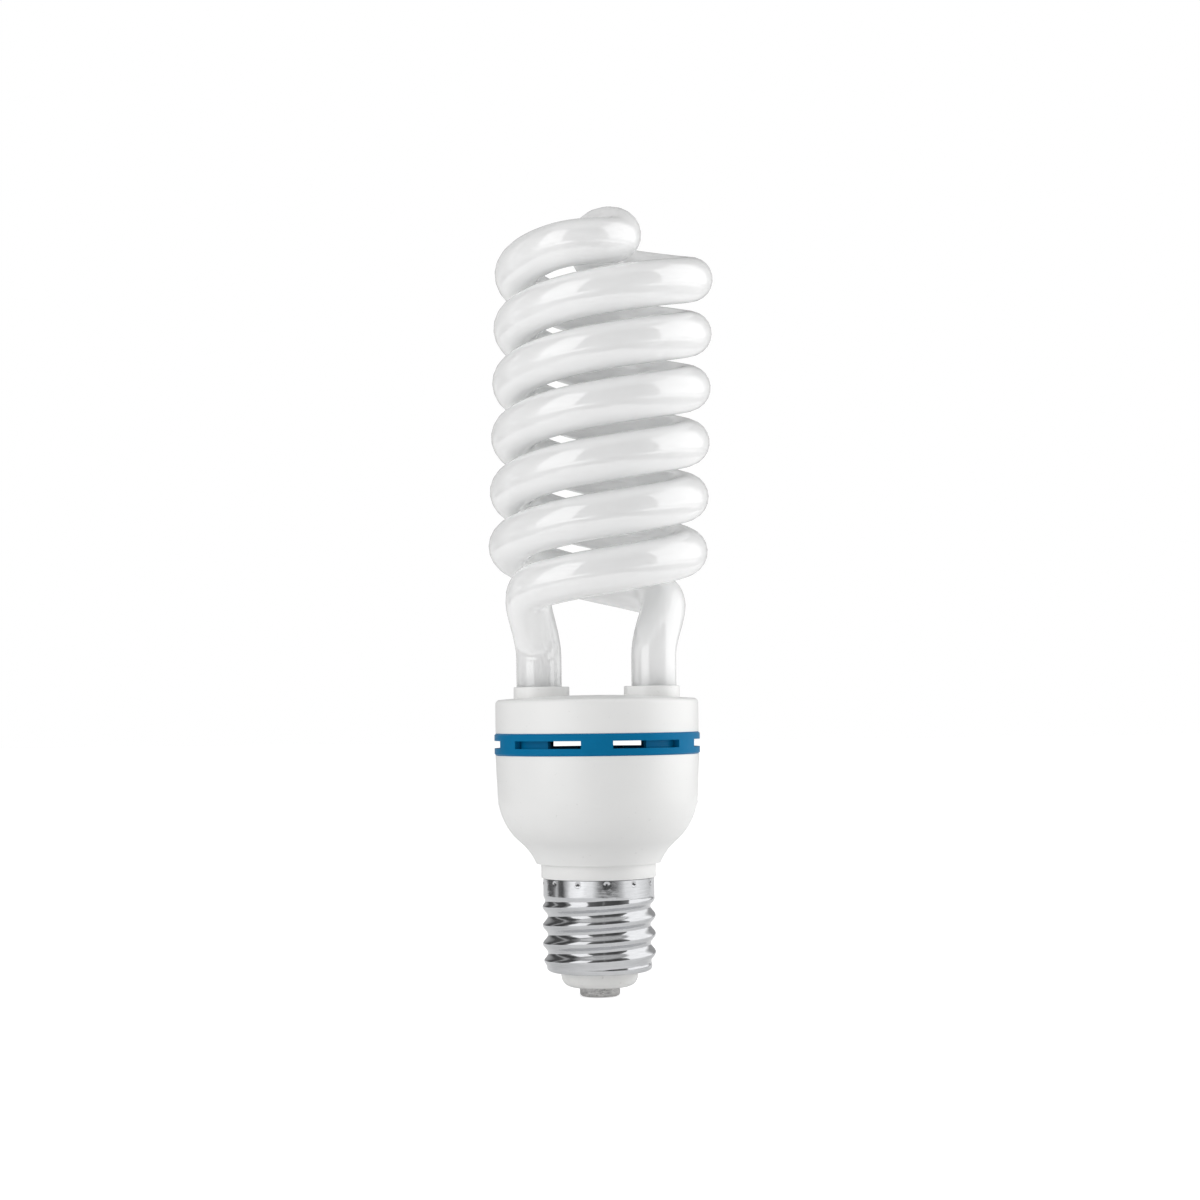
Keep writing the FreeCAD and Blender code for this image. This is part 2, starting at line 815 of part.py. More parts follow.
def switching_transistor(side):
    """Moulded body, metal tab against the heat sink and three legs up into the board."""
    x = side * transistor_spacing / 2
    back = -heat_sink_offset - heat_sink_thickness / 2
    top = board_bottom - transistor_leg_length
    tab_top = top - transistor_height
    tab_bottom = tab_top - transistor_tab_height
    tab_y = back - transistor_tab_thickness / 2
    body = box(transistor_width, transistor_thickness, tab_top, top, x, back - transistor_thickness / 2)
    tab = box(transistor_width, transistor_tab_thickness, tab_bottom, tab_top, x, tab_y)
    hole = Part.makeCylinder(
        transistor_hole_diameter / 2,
        transistor_tab_thickness,
        V(x, back - transistor_tab_thickness, tab_bottom + transistor_tab_height / 2),
        V(0, 1, 0),
    )
    leg_y = back - transistor_leg_setback
    leg_places = [x + i * transistor_leg_spacing for i in (-1, 0, 1)]
    legs = [
        box(transistor_leg_width, transistor_leg_width, top, board_bottom, leg_x, leg_y)
        for leg_x in leg_places
    ]
    return body.fuse([tab.cut(hole)] + legs)


def rectifier_diodes():
    """Four diodes that lie along the board, each with its leads bent up into it."""
    height = board_bottom - diode_diameter / 2
    solids = []
    for side in (-1, 1):
        for row in (0, 1):
            y = diode_first_y - row * diode_row_spacing
            start = side * diode_offset_x - diode_length / 2
            body = Part.makeCylinder(diode_diameter / 2, diode_length, V(start, y, height), V(1, 0, 0))
            reach = diode_length + 2 * diode_lead_reach
            lead_start = V(start - diode_lead_reach, y, height)
            lead = Part.makeCylinder(diode_lead_diameter / 2, reach, lead_start, V(1, 0, 0))
            solids.append(body.fuse(lead))
    return Part.makeCompound(solids)


def fuse():
    """Tube fuse lying along the board between its two end caps."""
    height = board_bottom - fuse_diameter / 2
    start = fuse_y - fuse_length / 2
    cap_radius = fuse_diameter / 2
    tube_start = V(fuse_x, start, height)
    tube = Part.makeCylinder(cap_radius - fuse_cap_wall, fuse_length, tube_start, V(0, 1, 0))
    caps = [
        Part.makeCylinder(cap_radius, fuse_cap_length, V(fuse_x, y, height), V(0, 1, 0))
        for y in (start, start + fuse_length - fuse_cap_length)
    ]
    return tube.fuse(caps)


def thermistor():
    centre = polar(thermistor_radius, thermistor_angle, board_bottom - thermistor_diameter / 2)
    axis = polar(1, thermistor_angle)
    start = centre - axis * (thermistor_thickness / 2)
    return Part.makeCylinder(thermistor_diameter / 2, thermistor_thickness, start, axis)


# Supply wires


def routed_wire(points):
    """Round wire that runs straight between the points and bends at each corner."""
    edges = []
    last = points[0]
    for before, corner, after in zip(points, points[1:], points[2:]):
        arriving = (corner - before).normalize()
        leaving = (after - corner).normalize()
        half = arriving.getAngle(leaving) / 2
        trim = wire_bend_radius * math.tan(half)
        start = corner - arriving * trim
        end = corner + leaving * trim
        inward = (leaving - arriving).normalize()
        middle = corner + inward * (wire_bend_radius / math.cos(half) - wire_bend_radius)
        edges.append(Part.makeLine(last, start))
        edges.append(Part.Arc(start, middle, end).toShape())
        last = end
    edges.append(Part.makeLine(last, points[-1]))
    section = Part.Wire(Part.makeCircle(wire_diameter / 2, points[0], points[1] - points[0]))
    return Part.Wire(edges).makePipeShell([section], True, False)


def live_wire():
    """From the board past the smoothing capacitor to the end contact's eyelet."""
    below = board_bottom - smoothing_length - wire_diameter
    return routed_wire(
        [
            polar(wire_route_radius, live_wire_angle, board_bottom),
            polar(wire_route_radius, live_wire_angle, below),
            V(0, 0, insulator_boss_top + 2 * wire_bend_radius),
            V(0, 0, contact_floor),
        ]
    )


def neutral_wire():
    """From the board down the neck, round its lower edge and out to the shell."""
    neck_bore_r = thread_root_diameter / 2 - shell_wall - neck_clearance - neck_wall
    level = insulator_top + wire_diameter
    return routed_wire(
        [
            polar(wire_route_radius, neutral_wire_angle, board_bottom),
            polar(wire_route_radius, neutral_wire_angle, collar_top),
            polar(neck_bore_r - wire_bend_radius, neutral_wire_angle, level),
            polar(thread_root_diameter / 2 - shell_wall, neutral_wire_angle, level),
        ]
    )


filter_core, filter_winding = filter_choke()
toroid_core, toroid_windings = drive_toroid()
pieces = {
    "glass_tube": glass_tube(),
    "upper_cover": upper_cover(),
    "vent_ring": vent_ring(),
    "lower_housing": lower_housing(),
    "cap_shell": cap_shell(),
    "cap_insulator": cap_insulator(),
    "centre_contact": centre_contact(),
    "left_tube_cement": tube_cement(-1),
    "right_tube_cement": tube_cement(1),
    "circuit_board": circuit_board(),
    "wrap_pins": wrap_pins(),
    "left_electrode_leads": electrode_leads(-1),
    "right_electrode_leads": electrode_leads(1),
    "smoothing_capacitor": smoothing_capacitor(),
    "lamp_choke_core": lamp_choke_core(),
    "lamp_choke_bobbin": lamp_choke_bobbin(),
    "lamp_choke_winding": lamp_choke_winding(),
    "filter_choke_core": filter_core,
    "filter_choke_winding": filter_winding,
    "drive_toroid_core": toroid_core,
    "drive_toroid_windings": toroid_windings,
    "heat_sink": heat_sink(),
    "left_switching_transistor": switching_transistor(-1),
    "right_switching_transistor": switching_transistor(1),
    "rectifier_diodes": rectifier_diodes(),
    "fuse": fuse(),
    "thermistor": thermistor(),
    "live_wire": live_wire(),
    "neutral_wire": neutral_wire(),
}
for name, sizes in film_capacitors.items():
    pieces[name] = film_capacitor(*sizes)

for name, shape in pieces.items():
    save(name, shape)
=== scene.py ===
import math

import bmesh
import bpy
from mathutils import Matrix, Vector


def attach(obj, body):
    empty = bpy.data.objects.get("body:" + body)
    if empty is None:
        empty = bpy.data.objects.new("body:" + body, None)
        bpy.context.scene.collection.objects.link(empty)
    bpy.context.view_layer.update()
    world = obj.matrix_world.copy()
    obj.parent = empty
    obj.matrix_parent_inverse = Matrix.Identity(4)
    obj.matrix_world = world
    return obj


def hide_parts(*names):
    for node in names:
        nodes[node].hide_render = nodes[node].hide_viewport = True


# Spiral energy saving bulb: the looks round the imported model.
# The dictionaries give millimetres and degrees, and meshes are made in metres.

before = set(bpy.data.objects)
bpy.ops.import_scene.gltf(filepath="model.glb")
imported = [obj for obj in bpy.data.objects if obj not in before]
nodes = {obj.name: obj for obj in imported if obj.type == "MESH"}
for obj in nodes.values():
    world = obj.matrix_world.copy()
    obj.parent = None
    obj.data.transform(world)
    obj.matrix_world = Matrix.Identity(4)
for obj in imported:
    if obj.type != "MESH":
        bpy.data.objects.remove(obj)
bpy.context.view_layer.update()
mm = 0.001
hair = 0.001 * mm
up = Vector((0, 0, 1))
print("frame loaded", len(nodes), "nodes")


# Shader maths: a wrapped socket that takes + - * / and **

class Amount:
    def __init__(self, finish, socket):
        self.finish = finish
        self.socket = socket

    def __add__(self, other):
        return self.finish.maths("ADD", self, other)

    def __sub__(self, other):
        return self.finish.maths("SUBTRACT", self, other)

    def __rsub__(self, other):
        return self.finish.maths("SUBTRACT", other, self)

    def __mul__(self, other):
        return self.finish.maths("MULTIPLY", self, other)

    def __truediv__(self, other):
        return self.finish.maths("DIVIDE", self, other)

    def __pow__(self, other):
        return self.finish.maths("POWER", self, other)

    __radd__ = __add__
    __rmul__ = __mul__


class Finish:
    def __init__(self, tree):
        self.tree = tree

    def node(self, kind, settings=None, inputs=None, output=0):
        made = self.tree.nodes.new("ShaderNode" + kind)
        for name, value in (settings or {}).items():
            if name == "stops":
                elements = made.color_ramp.elements
                while len(elements) < len(value):
                    elements.new(1.0)
                for element, (place, shade) in zip(elements, value):
                    element.position = place
                    element.color = colour(shade)
            else:
                setattr(made, name, value)
        for name, value in (inputs or {}).items():
            self.plug(made.inputs[name], value)
        return Amount(self, made.outputs[output])

    def plug(self, socket, value):
        if isinstance(value, Amount):
            self.tree.links.new(value.socket, socket)
        elif hasattr(socket.default_value, "__len__"):
            socket.default_value = colour(value) if len(socket.default_value) == 4 else value
        else:
            socket.default_value = value

    def maths(self, operation, *values):
        return self.node("Math", {"operation": operation}, dict(enumerate(values)))

    def mix(self, share, first, second):
        settings = {"data_type": "RGBA", "clamp_factor": True}
        return self.node("Mix", settings, {0: share, 6: first, 7: second}, output=2)

    def ramp(self, share, stops):
        return self.node("ValToRGB", {"stops": stops}, {"Fac": share})

    def place(self, turn=(0, 0, 0), centre=(0, 0, 0), stretch=(1, 1, 1)):
        coordinates = self.node("TexCoord", output=3)
        moved = self.node("VectorMath", {"operation": "SUBTRACT"}, {0: coordinates, 1: centre})
        return self.node("Mapping", None, {"Vector": moved, "Rotation": turn, "Scale": stretch})

    def around(self, centre=(0, 0)):
        # Angle round a vertical axis in radians, radius and height, in metres
        moved = self.place(centre=(centre[0] * mm, centre[1] * mm, 0))
        parts = [self.node("SeparateXYZ", None, {0: moved}, output=i) for i in range(3)]
        angle = self.maths("ARCTAN2", parts[1], parts[0])
        radius = self.maths("SQRT", parts[0] ** 2 + parts[1] ** 2)
        return angle, radius, parts[2]

    def rays(self):
        # Whether it is the camera, a mirror or clear glass that looks
        return [self.node("LightPath", output=i) for i in (0, 3, 6)]

    def noise(self, scale, detail=3.0, roughness=0.5, at=None):
        inputs = {"Scale": scale, "Detail": detail, "Roughness": roughness}
        inputs["Vector"] = at or self.place()
        return self.node("TexNoise", None, inputs)

    def bump(self, height, distance, strength=1.0, normal=None):
        inputs = {"Height": height, "Distance": distance, "Strength": strength}
        if normal:
            inputs["Normal"] = normal
        return self.node("Bump", None, inputs)


def colour(shade):
    if isinstance(shade, (int, float)):
        return (shade, shade, shade, 1.0)
    return tuple(shade) + (1.0,) if len(shade) == 3 else tuple(shade)


def screenColour(red, green, blue):
    # The linear colour that shows on a screen as these 0 to 255 numbers
    shares = [level / 255 for level in (red, green, blue)]
    return tuple(s / 12.92 if s <= 0.04045 else ((s + 0.055) / 1.055) ** 2.4 for s in shares)


class Surface(Finish):
    def __init__(self, name, **settings):
        self.material = bpy.data.materials.new(name)
        self.material.use_nodes = True
        super().__init__(self.material.node_tree)
        self.shader = self.tree.nodes["Principled BSDF"]
        for label, value in settings.items():
            self.set(label.replace("_", " "), value)

    def set(self, label, value):
        self.plug(self.shader.inputs[label], value)


# Finishes

def coatedGlass():
    # White coating inside smooth clear glass, thinner in the last of each leg
    look = {"white": screenColour(250, 251, 251), "thin": screenColour(242, 244, 245)}
    fade = {"bare": 108.0, "full": 124.0}
    surface = Surface("coatedGlass", Coat_Weight=1.0, Coat_Roughness=0.012, Specular_IOR_Level=0.0)
    surface.set("Coat IOR", 2.2)
    surface.set("Subsurface Weight", 1.0)
    surface.set("Subsurface Radius", (1.0, 1.0, 1.0))
    surface.set("Subsurface Scale", 0.03)
    height = surface.around()[2]
    cloud = surface.noise(22, 4)
    grains = surface.noise(1400, 2)
    covered = (height / mm - fade["bare"]) / (fade["full"] - fade["bare"]) + (cloud - 0.5) * 0.9
    base = surface.mix(covered, look["thin"], look["white"])
    base = surface.mix((surface.noise(55, 3) - 0.35) * 0.25, base, screenColour(244, 246, 247))
    surface.set("Base Color", surface.mix((grains - 0.5) * 0.3, base, screenColour(253, 253, 252)))
    surface.set("Roughness", 0.34 + cloud * 0.1)
    ripple = surface.noise(35, 1)
    surface.set("Normal", surface.bump(ripple, 0.0006, 0.08))
    return surface.material


def whiteMoulding():
    surface = Surface("whiteMoulding", Coat_Weight=0.25, Coat_Roughness=0.12)
    shade = surface.mix(surface.noise(40, 3), screenColour(239, 239, 238), screenColour(246, 246, 245))
    specks = surface.ramp(surface.noise(900, 2), [(0.24, 1.0), (0.3, 0.0)])
    surface.set("Base Color", surface.mix(specks * 0.25, shade, screenColour(206, 206, 204)))
    surface.set("Roughness", 0.3 + surface.noise(160, 3) * 0.14)
    skin = surface.noise(1100, 2)
    flow = surface.noise(60, 2)
    surface.set("Normal", surface.bump(flow, 0.0002, 0.25, surface.bump(skin, 0.00002, 0.5)))
    return surface.material


def blueMoulding():
    surface = Surface("blueMoulding", Specular_IOR_Level=0.08)
    flow = surface.noise(90, 4)
    shade = surface.mix(flow, screenColour(0, 105, 150), screenColour(0, 116, 165))
    flecks = surface.ramp(surface.noise(1300, 3, 0.7), [(0.6, 0.0), (0.72, 1.0)])
    surface.set("Base Color", surface.mix(flecks * 0.2, shade, screenColour(20, 138, 188)))
    surface.set("Roughness", 0.24 + surface.noise(420, 3) * 0.2)
    surface.set("Normal", surface.bump(surface.noise(1000, 2), 0.00003, 0.6))
    return surface.material


def platedShell():
    # Rolled and plated sheet: streaks that run round with the rolls, soft waves and smears
    streak = {"radius": 19.0, "stretch": 9}
    surface = Surface("platedShell", Metallic=1.0)
    angle, radius, height = surface.around()
    way = {0: angle * (streak["radius"] * mm), 1: height * streak["stretch"], 2: radius * streak["stretch"]}
    wrap = surface.node("CombineXYZ", None, way)
    streaks = surface.noise(260, 3, 0.6, wrap)
    shade = surface.mix(streaks, screenColour(196, 197, 199), screenColour(222, 223, 225))
    # Painted shade: a dark colour in the punch marks and along the rim under the collar, standing in for the
    # shade that falls there
    marks = {"height": 38.3, "bottom": 18.95, "face": 19.22, "rim": 40.62, "above": 40.78}
    depth = (radius / mm - marks["bottom"]) / (marks["face"] - marks["bottom"])
    markShade = surface.ramp(depth, [(0.2, 1.0), (0.9, 0.0)])
    markShade = markShade * surface.maths("GREATER_THAN", height, marks["height"] * mm)
    rim = (height / mm - marks["rim"]) / (marks["above"] - marks["rim"])
    rimShade = surface.ramp(rim + (streaks - 0.5) * 0.8, [(0.2, 0.0), (0.8, 1.0)])
    paintedShade = surface.maths("MAXIMUM", markShade, rimShade)
    # The dark colour mixed in here is painted shade, not dirt
    surface.set("Base Color", surface.mix(paintedShade * 0.85, shade, screenColour(44, 44, 46)))
    smears = surface.noise(120, 4, 0.6)
    surface.set("Roughness", 0.04 + streaks * 0.06 + smears * 0.06 + paintedShade * 0.3)
    waves = surface.noise(150, 2)
    fine = surface.bump(streaks, 0.00005, 0.12)
    surface.set("Normal", surface.bump(waves, 0.0005, 0.2, fine))
    return surface.material


def glazedInsulator():
    surface = Surface("glazedInsulator", Coat_Weight=0.8, Coat_Roughness=0.08)
    shade = surface.mix(surface.noise(220, 4), screenColour(236, 236, 234), screenColour(250, 250, 248))
    marks = surface.ramp(surface.noise(420, 4, 0.7), [(0.58, 0.0), (0.7, 1.0)])
    surface.set("Base Color", surface.mix(marks * 0.45, shade, screenColour(168, 168, 165)))
    surface.set("Roughness", 0.25 + marks * 0.2)
    surface.set("Normal", surface.bump(surface.noise(260, 3), 0.0002, 0.35))
    return surface.material


def solderedTin():
    surface = Surface("solderedTin", Metallic=1.0)
    crust = surface.noise(520, 5, 0.65)
    pits = surface.ramp(surface.noise(1500, 3, 0.6), [(0.3, 1.0), (0.42, 0.0)])
    shade = surface.mix(crust, screenColour(112, 111, 110), screenColour(236, 235, 234))
    surface.set("Base Color", surface.mix(pits * 0.6, shade, screenColour(92, 88, 84)))
    surface.set("Roughness", 0.08 + crust * 0.2)
    surface.set("Normal", surface.bump(crust, 0.0005, 0.5, surface.bump(pits, 0.00005, 0.6)))
    return surface.material


def mattFinish(name, dark, light, scale, roughness=0.6, depth=0.00006, metallic=0.0):
    # A plain surface that varies a little between two colours, with a fine grain
    surface = Surface(name, Metallic=metallic)
    cloud = surface.noise(scale, 4, 0.6)
    surface.set("Base Color", surface.mix(cloud, dark, light))
    surface.set("Roughness", roughness - 0.1 + surface.noise(scale * 3, 2) * 0.2)
    surface.set("Normal", surface.bump(surface.noise(scale * 6, 3), depth, 0.5))
    return surface.material


def woundFinish(name, dark, light, pitch, centre=(0, 0), axis="height", roughness=0.35):
    # Turns of wire or tape a pitch apart, up an axis or round a centre
    ringRadius = 4.0
    surface = Surface(name, Coat_Weight=0.4, Coat_Roughness=0.2)
    angle, height = surface.around(centre)[::2]
    along = {"height": height, "round": angle * (ringRadius * mm)}[axis]
    turns = surface.maths("SINE", along * (2 * math.pi / (pitch * mm))) * 0.5 + 0.5
    wear = surface.noise(300, 3)
    surface.set("Base Color", surface.mix(turns * 0.75 + wear * 0.25, dark, light))
    surface.set("Roughness", roughness + wear * 0.15)
    surface.set("Normal", surface.bump(turns, 0.00012, 0.8))
    return surface.material


def boardLaminate():
    # Paper laminate with fibres, and the soldered tracks' green lacquer under it
    surface = Surface("boardLaminate")
    parts = surface.node("SeparateXYZ", None, {0: surface.node("NewGeometry", output=1)}, output=2)
    fibres = surface.noise(900, 3, 0.6, surface.place(stretch=(1, 0.2, 1)))
    paper = surface.mix(fibres, screenColour(176, 138, 82), screenColour(205, 170, 112))
    lacquer = surface.mix(fibres, screenColour(20, 84, 48), screenColour(34, 108, 64))
    surface.set("Base Color", surface.mix(parts, paper, lacquer))
    surface.set("Roughness", 0.5 + fibres * 0.15)
    surface.set("Normal", surface.bump(fibres, 0.00003, 0.5))
    return surface.material


def capacitorSleeve():
    # A dark sleeve with one pale stripe down it, and a bare aluminium end
    can = {"radius": 9.0, "stripeAngle": 2.2}
    surface = Surface("capacitorSleeve", Coat_Weight=0.5, Coat_Roughness=0.15)
    angle, radius = surface.around()[:2]
    stripe = surface.ramp(surface.maths("ABSOLUTE", angle - can["stripeAngle"]), [(0.22, 1.0), (0.24, 0.0)])
    sleeve = surface.mix(surface.noise(200, 3), screenColour(24, 28, 46), screenColour(36, 42, 64))
    side = surface.ramp(radius / (can["radius"] * mm), [(0.82, 0.0), (0.84, 1.0)])
    printed = surface.mix(stripe, sleeve, screenColour(170, 176, 186))
    surface.set("Base Color", surface.mix(side, screenColour(176, 178, 180), printed))
    surface.set("Roughness", 0.3 + surface.noise(500, 3) * 0.15)
    surface.set("Normal", surface.bump(surface.noise(380, 2), 0.0001, 0.3))
    return surface.material


def fuseGlass():
    # End caps of plated brass on a clear glass body
    caps = {"middle": 6.5, "bare": 2.5}
    surface = Surface("fuseGlass")
    moved = surface.place(centre=(0, caps["middle"] * mm, 0))
    across = surface.node("SeparateXYZ", None, {0: moved}, output=1)
    cap = surface.maths("GREATER_THAN", surface.maths("ABSOLUTE", across), caps["bare"] * mm)
    haze = surface.noise(400, 3)
    surface.set("Base Color", surface.mix(cap, screenColour(212, 220, 220), screenColour(196, 190, 176)))
    surface.set("Metallic", cap)
    surface.set("Roughness", 0.1 + haze * 0.15 + cap * 0.1)
    surface.set("Normal", surface.bump(haze, 0.00005, 0.3))
    return surface.material


finishes = {
    "coatedGlass": coatedGlass(),
    "whiteMoulding": whiteMoulding(),
    "blueMoulding": blueMoulding(),
    "platedShell": platedShell(),
    "glazedInsulator": glazedInsulator(),
    "solderedTin": solderedTin(),
    "boardLaminate": boardLaminate(),
    "capacitorSleeve": capacitorSleeve(),
    "fuseGlass": fuseGlass(),
    "silicone": mattFinish("silicone", screenColour(226, 224, 216), screenColour(242, 240, 234), 120),
    "tinnedWire": mattFinish("tinnedWire", 0.5, 0.72, 700, 0.3, metallic=1.0),
    "ferrite": mattFinish("ferrite", screenColour(48, 48, 50), screenColour(74, 74, 77), 300, 0.65),
    "bobbin": mattFinish("bobbin", screenColour(24, 24, 25), screenColour(38, 38, 40), 200, 0.5),
    "epoxy": mattFinish("epoxy", screenColour(26, 26, 27), screenColour(46, 46, 48), 500, 0.6),
    "dippedFilm": mattFinish("dippedFilm", screenColour(150, 52, 28), screenColour(184, 74, 40), 160, 0.3),
    "lacquer": mattFinish("lacquer", screenColour(40, 92, 58), screenColour(66, 122, 82), 260, 0.5),
    "rolledAluminium": mattFinish("rolledAluminium", 0.5, 0.66, 240, 0.35, metallic=1.0),
    "redSleeve": mattFinish("redSleeve", screenColour(150, 22, 18), screenColour(186, 34, 28), 200, 0.35),
    "blackSleeve": mattFinish("blackSleeve", screenColour(20, 20, 21), screenColour(38, 38, 40), 200, 0.35),
    "chokeTape": woundFinish("chokeTape", screenColour(196, 160, 52), screenColour(228, 200, 96), 5.5),
    "filterWire": woundFinish("filterWire", screenColour(112, 48, 24), screenColour(196, 108, 62), 0.5),
    "toroidWire": woundFinish(
        "toroidWire", screenColour(112, 48, 24), screenColour(196, 108, 62), 0.5, (-16.45, 9.5), "round"
    ),
}

nodeFinishes = {
    "left_tube_cement": "silicone",
    "right_tube_cement": "silicone",
    "circuit_board": "boardLaminate",
    "wrap_pins": "tinnedWire",
    "left_electrode_leads": "tinnedWire",
    "right_electrode_leads": "tinnedWire",
    "smoothing_capacitor": "capacitorSleeve",
    "lamp_choke_core": "ferrite",
    "lamp_choke_bobbin": "bobbin",
    "lamp_choke_winding": "chokeTape",
    "filter_choke_core": "ferrite",
    "filter_choke_winding": "filterWire",
    "drive_toroid_core": "ferrite",
    "drive_toroid_windings": "toroidWire",
    "heat_sink": "rolledAluminium",
    "left_switching_transistor": "epoxy",
    "right_switching_transistor": "epoxy",
    "rectifier_diodes": "epoxy",
    "fuse": "fuseGlass",
    "thermistor": "lacquer",
    "live_wire": "redSleeve",
    "neutral_wire": "blackSleeve",
    "resonance_capacitor": "dippedFilm",
    "coupling_capacitor": "dippedFilm",
    "snubber_capacitor": "dippedFilm",
}
for name, finish in nodeFinishes.items():
    materials = nodes[name].data.materials
    materials.clear()
    materials.append(finishes[finish])
print("finishes made")


# Ways of making pieces

def linked(name, data):
    thing = bpy.data.objects.new(name, data)
    bpy.context.scene.collection.objects.link(thing)
    return thing


def addPiece(name, mesh, finish, node, angle):
    piece = linked(name, mesh)
    mesh.materials.clear()
    mesh.materials.append(finishes[finish])
    shadeSmooth(mesh, angle)
    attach(piece, "root")
    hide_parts(node)


def shadeSmooth(mesh, angle):
    # Smooth all over, apart from edges sharper than the angle
    shape = bmesh.new()
    shape.from_mesh(mesh)
    for face in shape.faces:
        face.smooth = True
    for edge in shape.edges:
        edge.smooth = not (len(edge.link_faces) == 2 and edge.calc_face_angle() > math.radians(angle))
    shape.to_mesh(mesh)
    shape.free()


def meshOf(shape, name):
    mesh = bpy.data.meshes.new(name)
    shape.to_mesh(mesh)
    shape.free()
    return mesh


def arc(centreR, centreZ, radius, start, end, count):
    angles = [math.radians(start + (end - start) * i / count) for i in range(count + 1)]
    return [(centreR + radius * math.cos(a), centreZ + radius * math.sin(a)) for a in angles]


def eased(share):
    share = min(max(share, 0.0), 1.0)
    return share * share * (3 - 2 * share)


def spinSection(points, steps, closed=True):
    # Spins (r, z) corners round Z into a shape with its faces outwards
    shape = bmesh.new()
    verts = [shape.verts.new((r * mm, 0, z * mm)) for r, z in points]
    edges = [shape.edges.new(pair) for pair in zip(verts, verts[1:])]
    if closed:
        edges.append(shape.edges.new((verts[-1], verts[0])))
    bmesh.ops.spin(
        shape, geom=verts + edges, axis=up, cent=(0, 0, 0), angle=2 * math.pi, steps=steps, use_merge=True
    )
    bmesh.ops.remove_doubles(shape, verts=shape.verts, dist=hair)
    bmesh.ops.recalc_face_normals(shape, faces=shape.faces)
    return shape


def cutOrJoin(base, tools, operation):
    # Applies exact booleans and returns the mesh that they leave
    body = linked("body", base)
    helpers = [linked("tool", tool) for tool in tools]
    for helper in helpers:
        modifier = body.modifiers.new("cut", "BOOLEAN")
        modifier.operation = operation
        modifier.solver = "EXACT"
        modifier.object = helper
    return meshLeft(body, helpers)


def meshLeft(body, helpers=()):
    # The mesh that an object's modifiers leave, without the object and its helpers
    bpy.context.view_layer.update()
    evaluated = body.evaluated_get(bpy.context.evaluated_depsgraph_get())
    mesh = bpy.data.meshes.new_from_object(evaluated)
    for thing in (body, *helpers):
        bpy.data.objects.remove(thing)
    return mesh


def turned(degrees, size=3):
    return Matrix.Rotation(math.radians(degrees), size, "Z")


# Glass tube

tube = {
    "diameter": 15.7,
    "legSpacing": 40.0,
    "legEnd": 96.16,
    "legTop": 117.0,
    "coilRadius": 30.35,
    "pitch": 38.2,
    "firstHeight": 154.8,
    "startAngle": 230.0,
    "endAngle": 1310.0,
    "lean": 1.8,
    "leanHeight": 120.0,
    "kneePull": 35.0,
    "crownCoilPull": 37.2,
    "crownInset": 11.7,
    "crownAngle": 280.5,
    "crownRise": 4.7,
    "crownHeading": 66.0,
    "crownSlope": 14.0,
    "crownStartPull": 26.8,
    "crownEndPull": 17.9,
    "bridgeRise": 11.7,
    "bridgeHeading": 134.0,
    "bridgePull": 24.4,
    "knotAngle": 45.0,
    "stepsPerKnot": 14,
    "roundness": 9,
    "pinchEnd": 89.66,
    "pinchShoulder": 3.6,
    "shoulderSteps": 4,
    "pinchWidth": 13.0,
    "pinchThickness": 3.8,
    "smoothAngle": 50.0,
}

coilTop = tube["firstHeight"] + tube["pitch"] * (tube["endAngle"] / 360 - 1)


def leaned(direction):
    return Matrix.Rotation(math.radians(tube["lean"]), 3, "Y") @ direction


def leanedPlace(place):
    centre = Vector((0, 0, tube["leanHeight"]))
    return centre + leaned(place - centre)


def heading(degrees):
    return Vector((math.cos(math.radians(degrees)), math.sin(math.radians(degrees)), 0))


def coilKnots(side):
    # Points up one spiral with the handles that make each piece between them a true helix
    sweep = tube["endAngle"] - tube["startAngle"]
    count = round(sweep / tube["knotAngle"])
    step = math.radians(sweep / count)
    reach = 4 / 3 * math.tan(step / 4) * tube["coilRadius"]
    rise = tube["pitch"] * step / (2 * math.pi) / 3
    bottom = tube["firstHeight"] + tube["pitch"] * (tube["startAngle"] / 360 - 1)
    turn = math.radians(tube["startAngle"] + (0 if side > 0 else 180))
    knots = []
    for i in range(count + 1):
        angle = turn + step * i
        out = Vector((math.cos(angle), math.sin(angle), 0))
        forward = Vector((-out.y, out.x, 0)) * reach + up * rise
        point = out * tube["coilRadius"] + up * (bottom + tube["pitch"] * step * i / (2 * math.pi))
        knots.append([leanedPlace(point - forward), leanedPlace(point), leanedPlace(point + forward)])
    return knots


def halfRoute(side):
    x = -side * tube["legSpacing"] / 2
    foot = Vector((x, 0, tube["legEnd"]))
    knee = Vector((x, 0, tube["legTop"]))
    third = (knee - foot) / 3
    knots = coilKnots(side)
    low, high = knots[0], knots[-1]
    low[0] = low[1] - (low[2] - low[1]).normalized() * tube["kneePull"] / 3
    high[2] = high[1] + (high[1] - high[0]).normalized() * tube["crownCoilPull"] / 3
    ends = [[foot - third, foot, foot + third], [knee - third, knee, knee + up * tube["kneePull"] / 3]]
    slope = math.radians(tube["crownSlope"])
    climb = leaned(heading(tube["crownHeading"]) * side * math.cos(slope) + up * math.sin(slope))
    crown = heading(tube["crownAngle"]) * side * (tube["coilRadius"] - tube["crownInset"])
    crown = leanedPlace(crown + up * (coilTop + tube["crownRise"]))
    before, after = climb * tube["crownStartPull"] / 3, climb * tube["crownEndPull"] / 3
    return ends + knots + [[crown - before, crown, crown + after]]


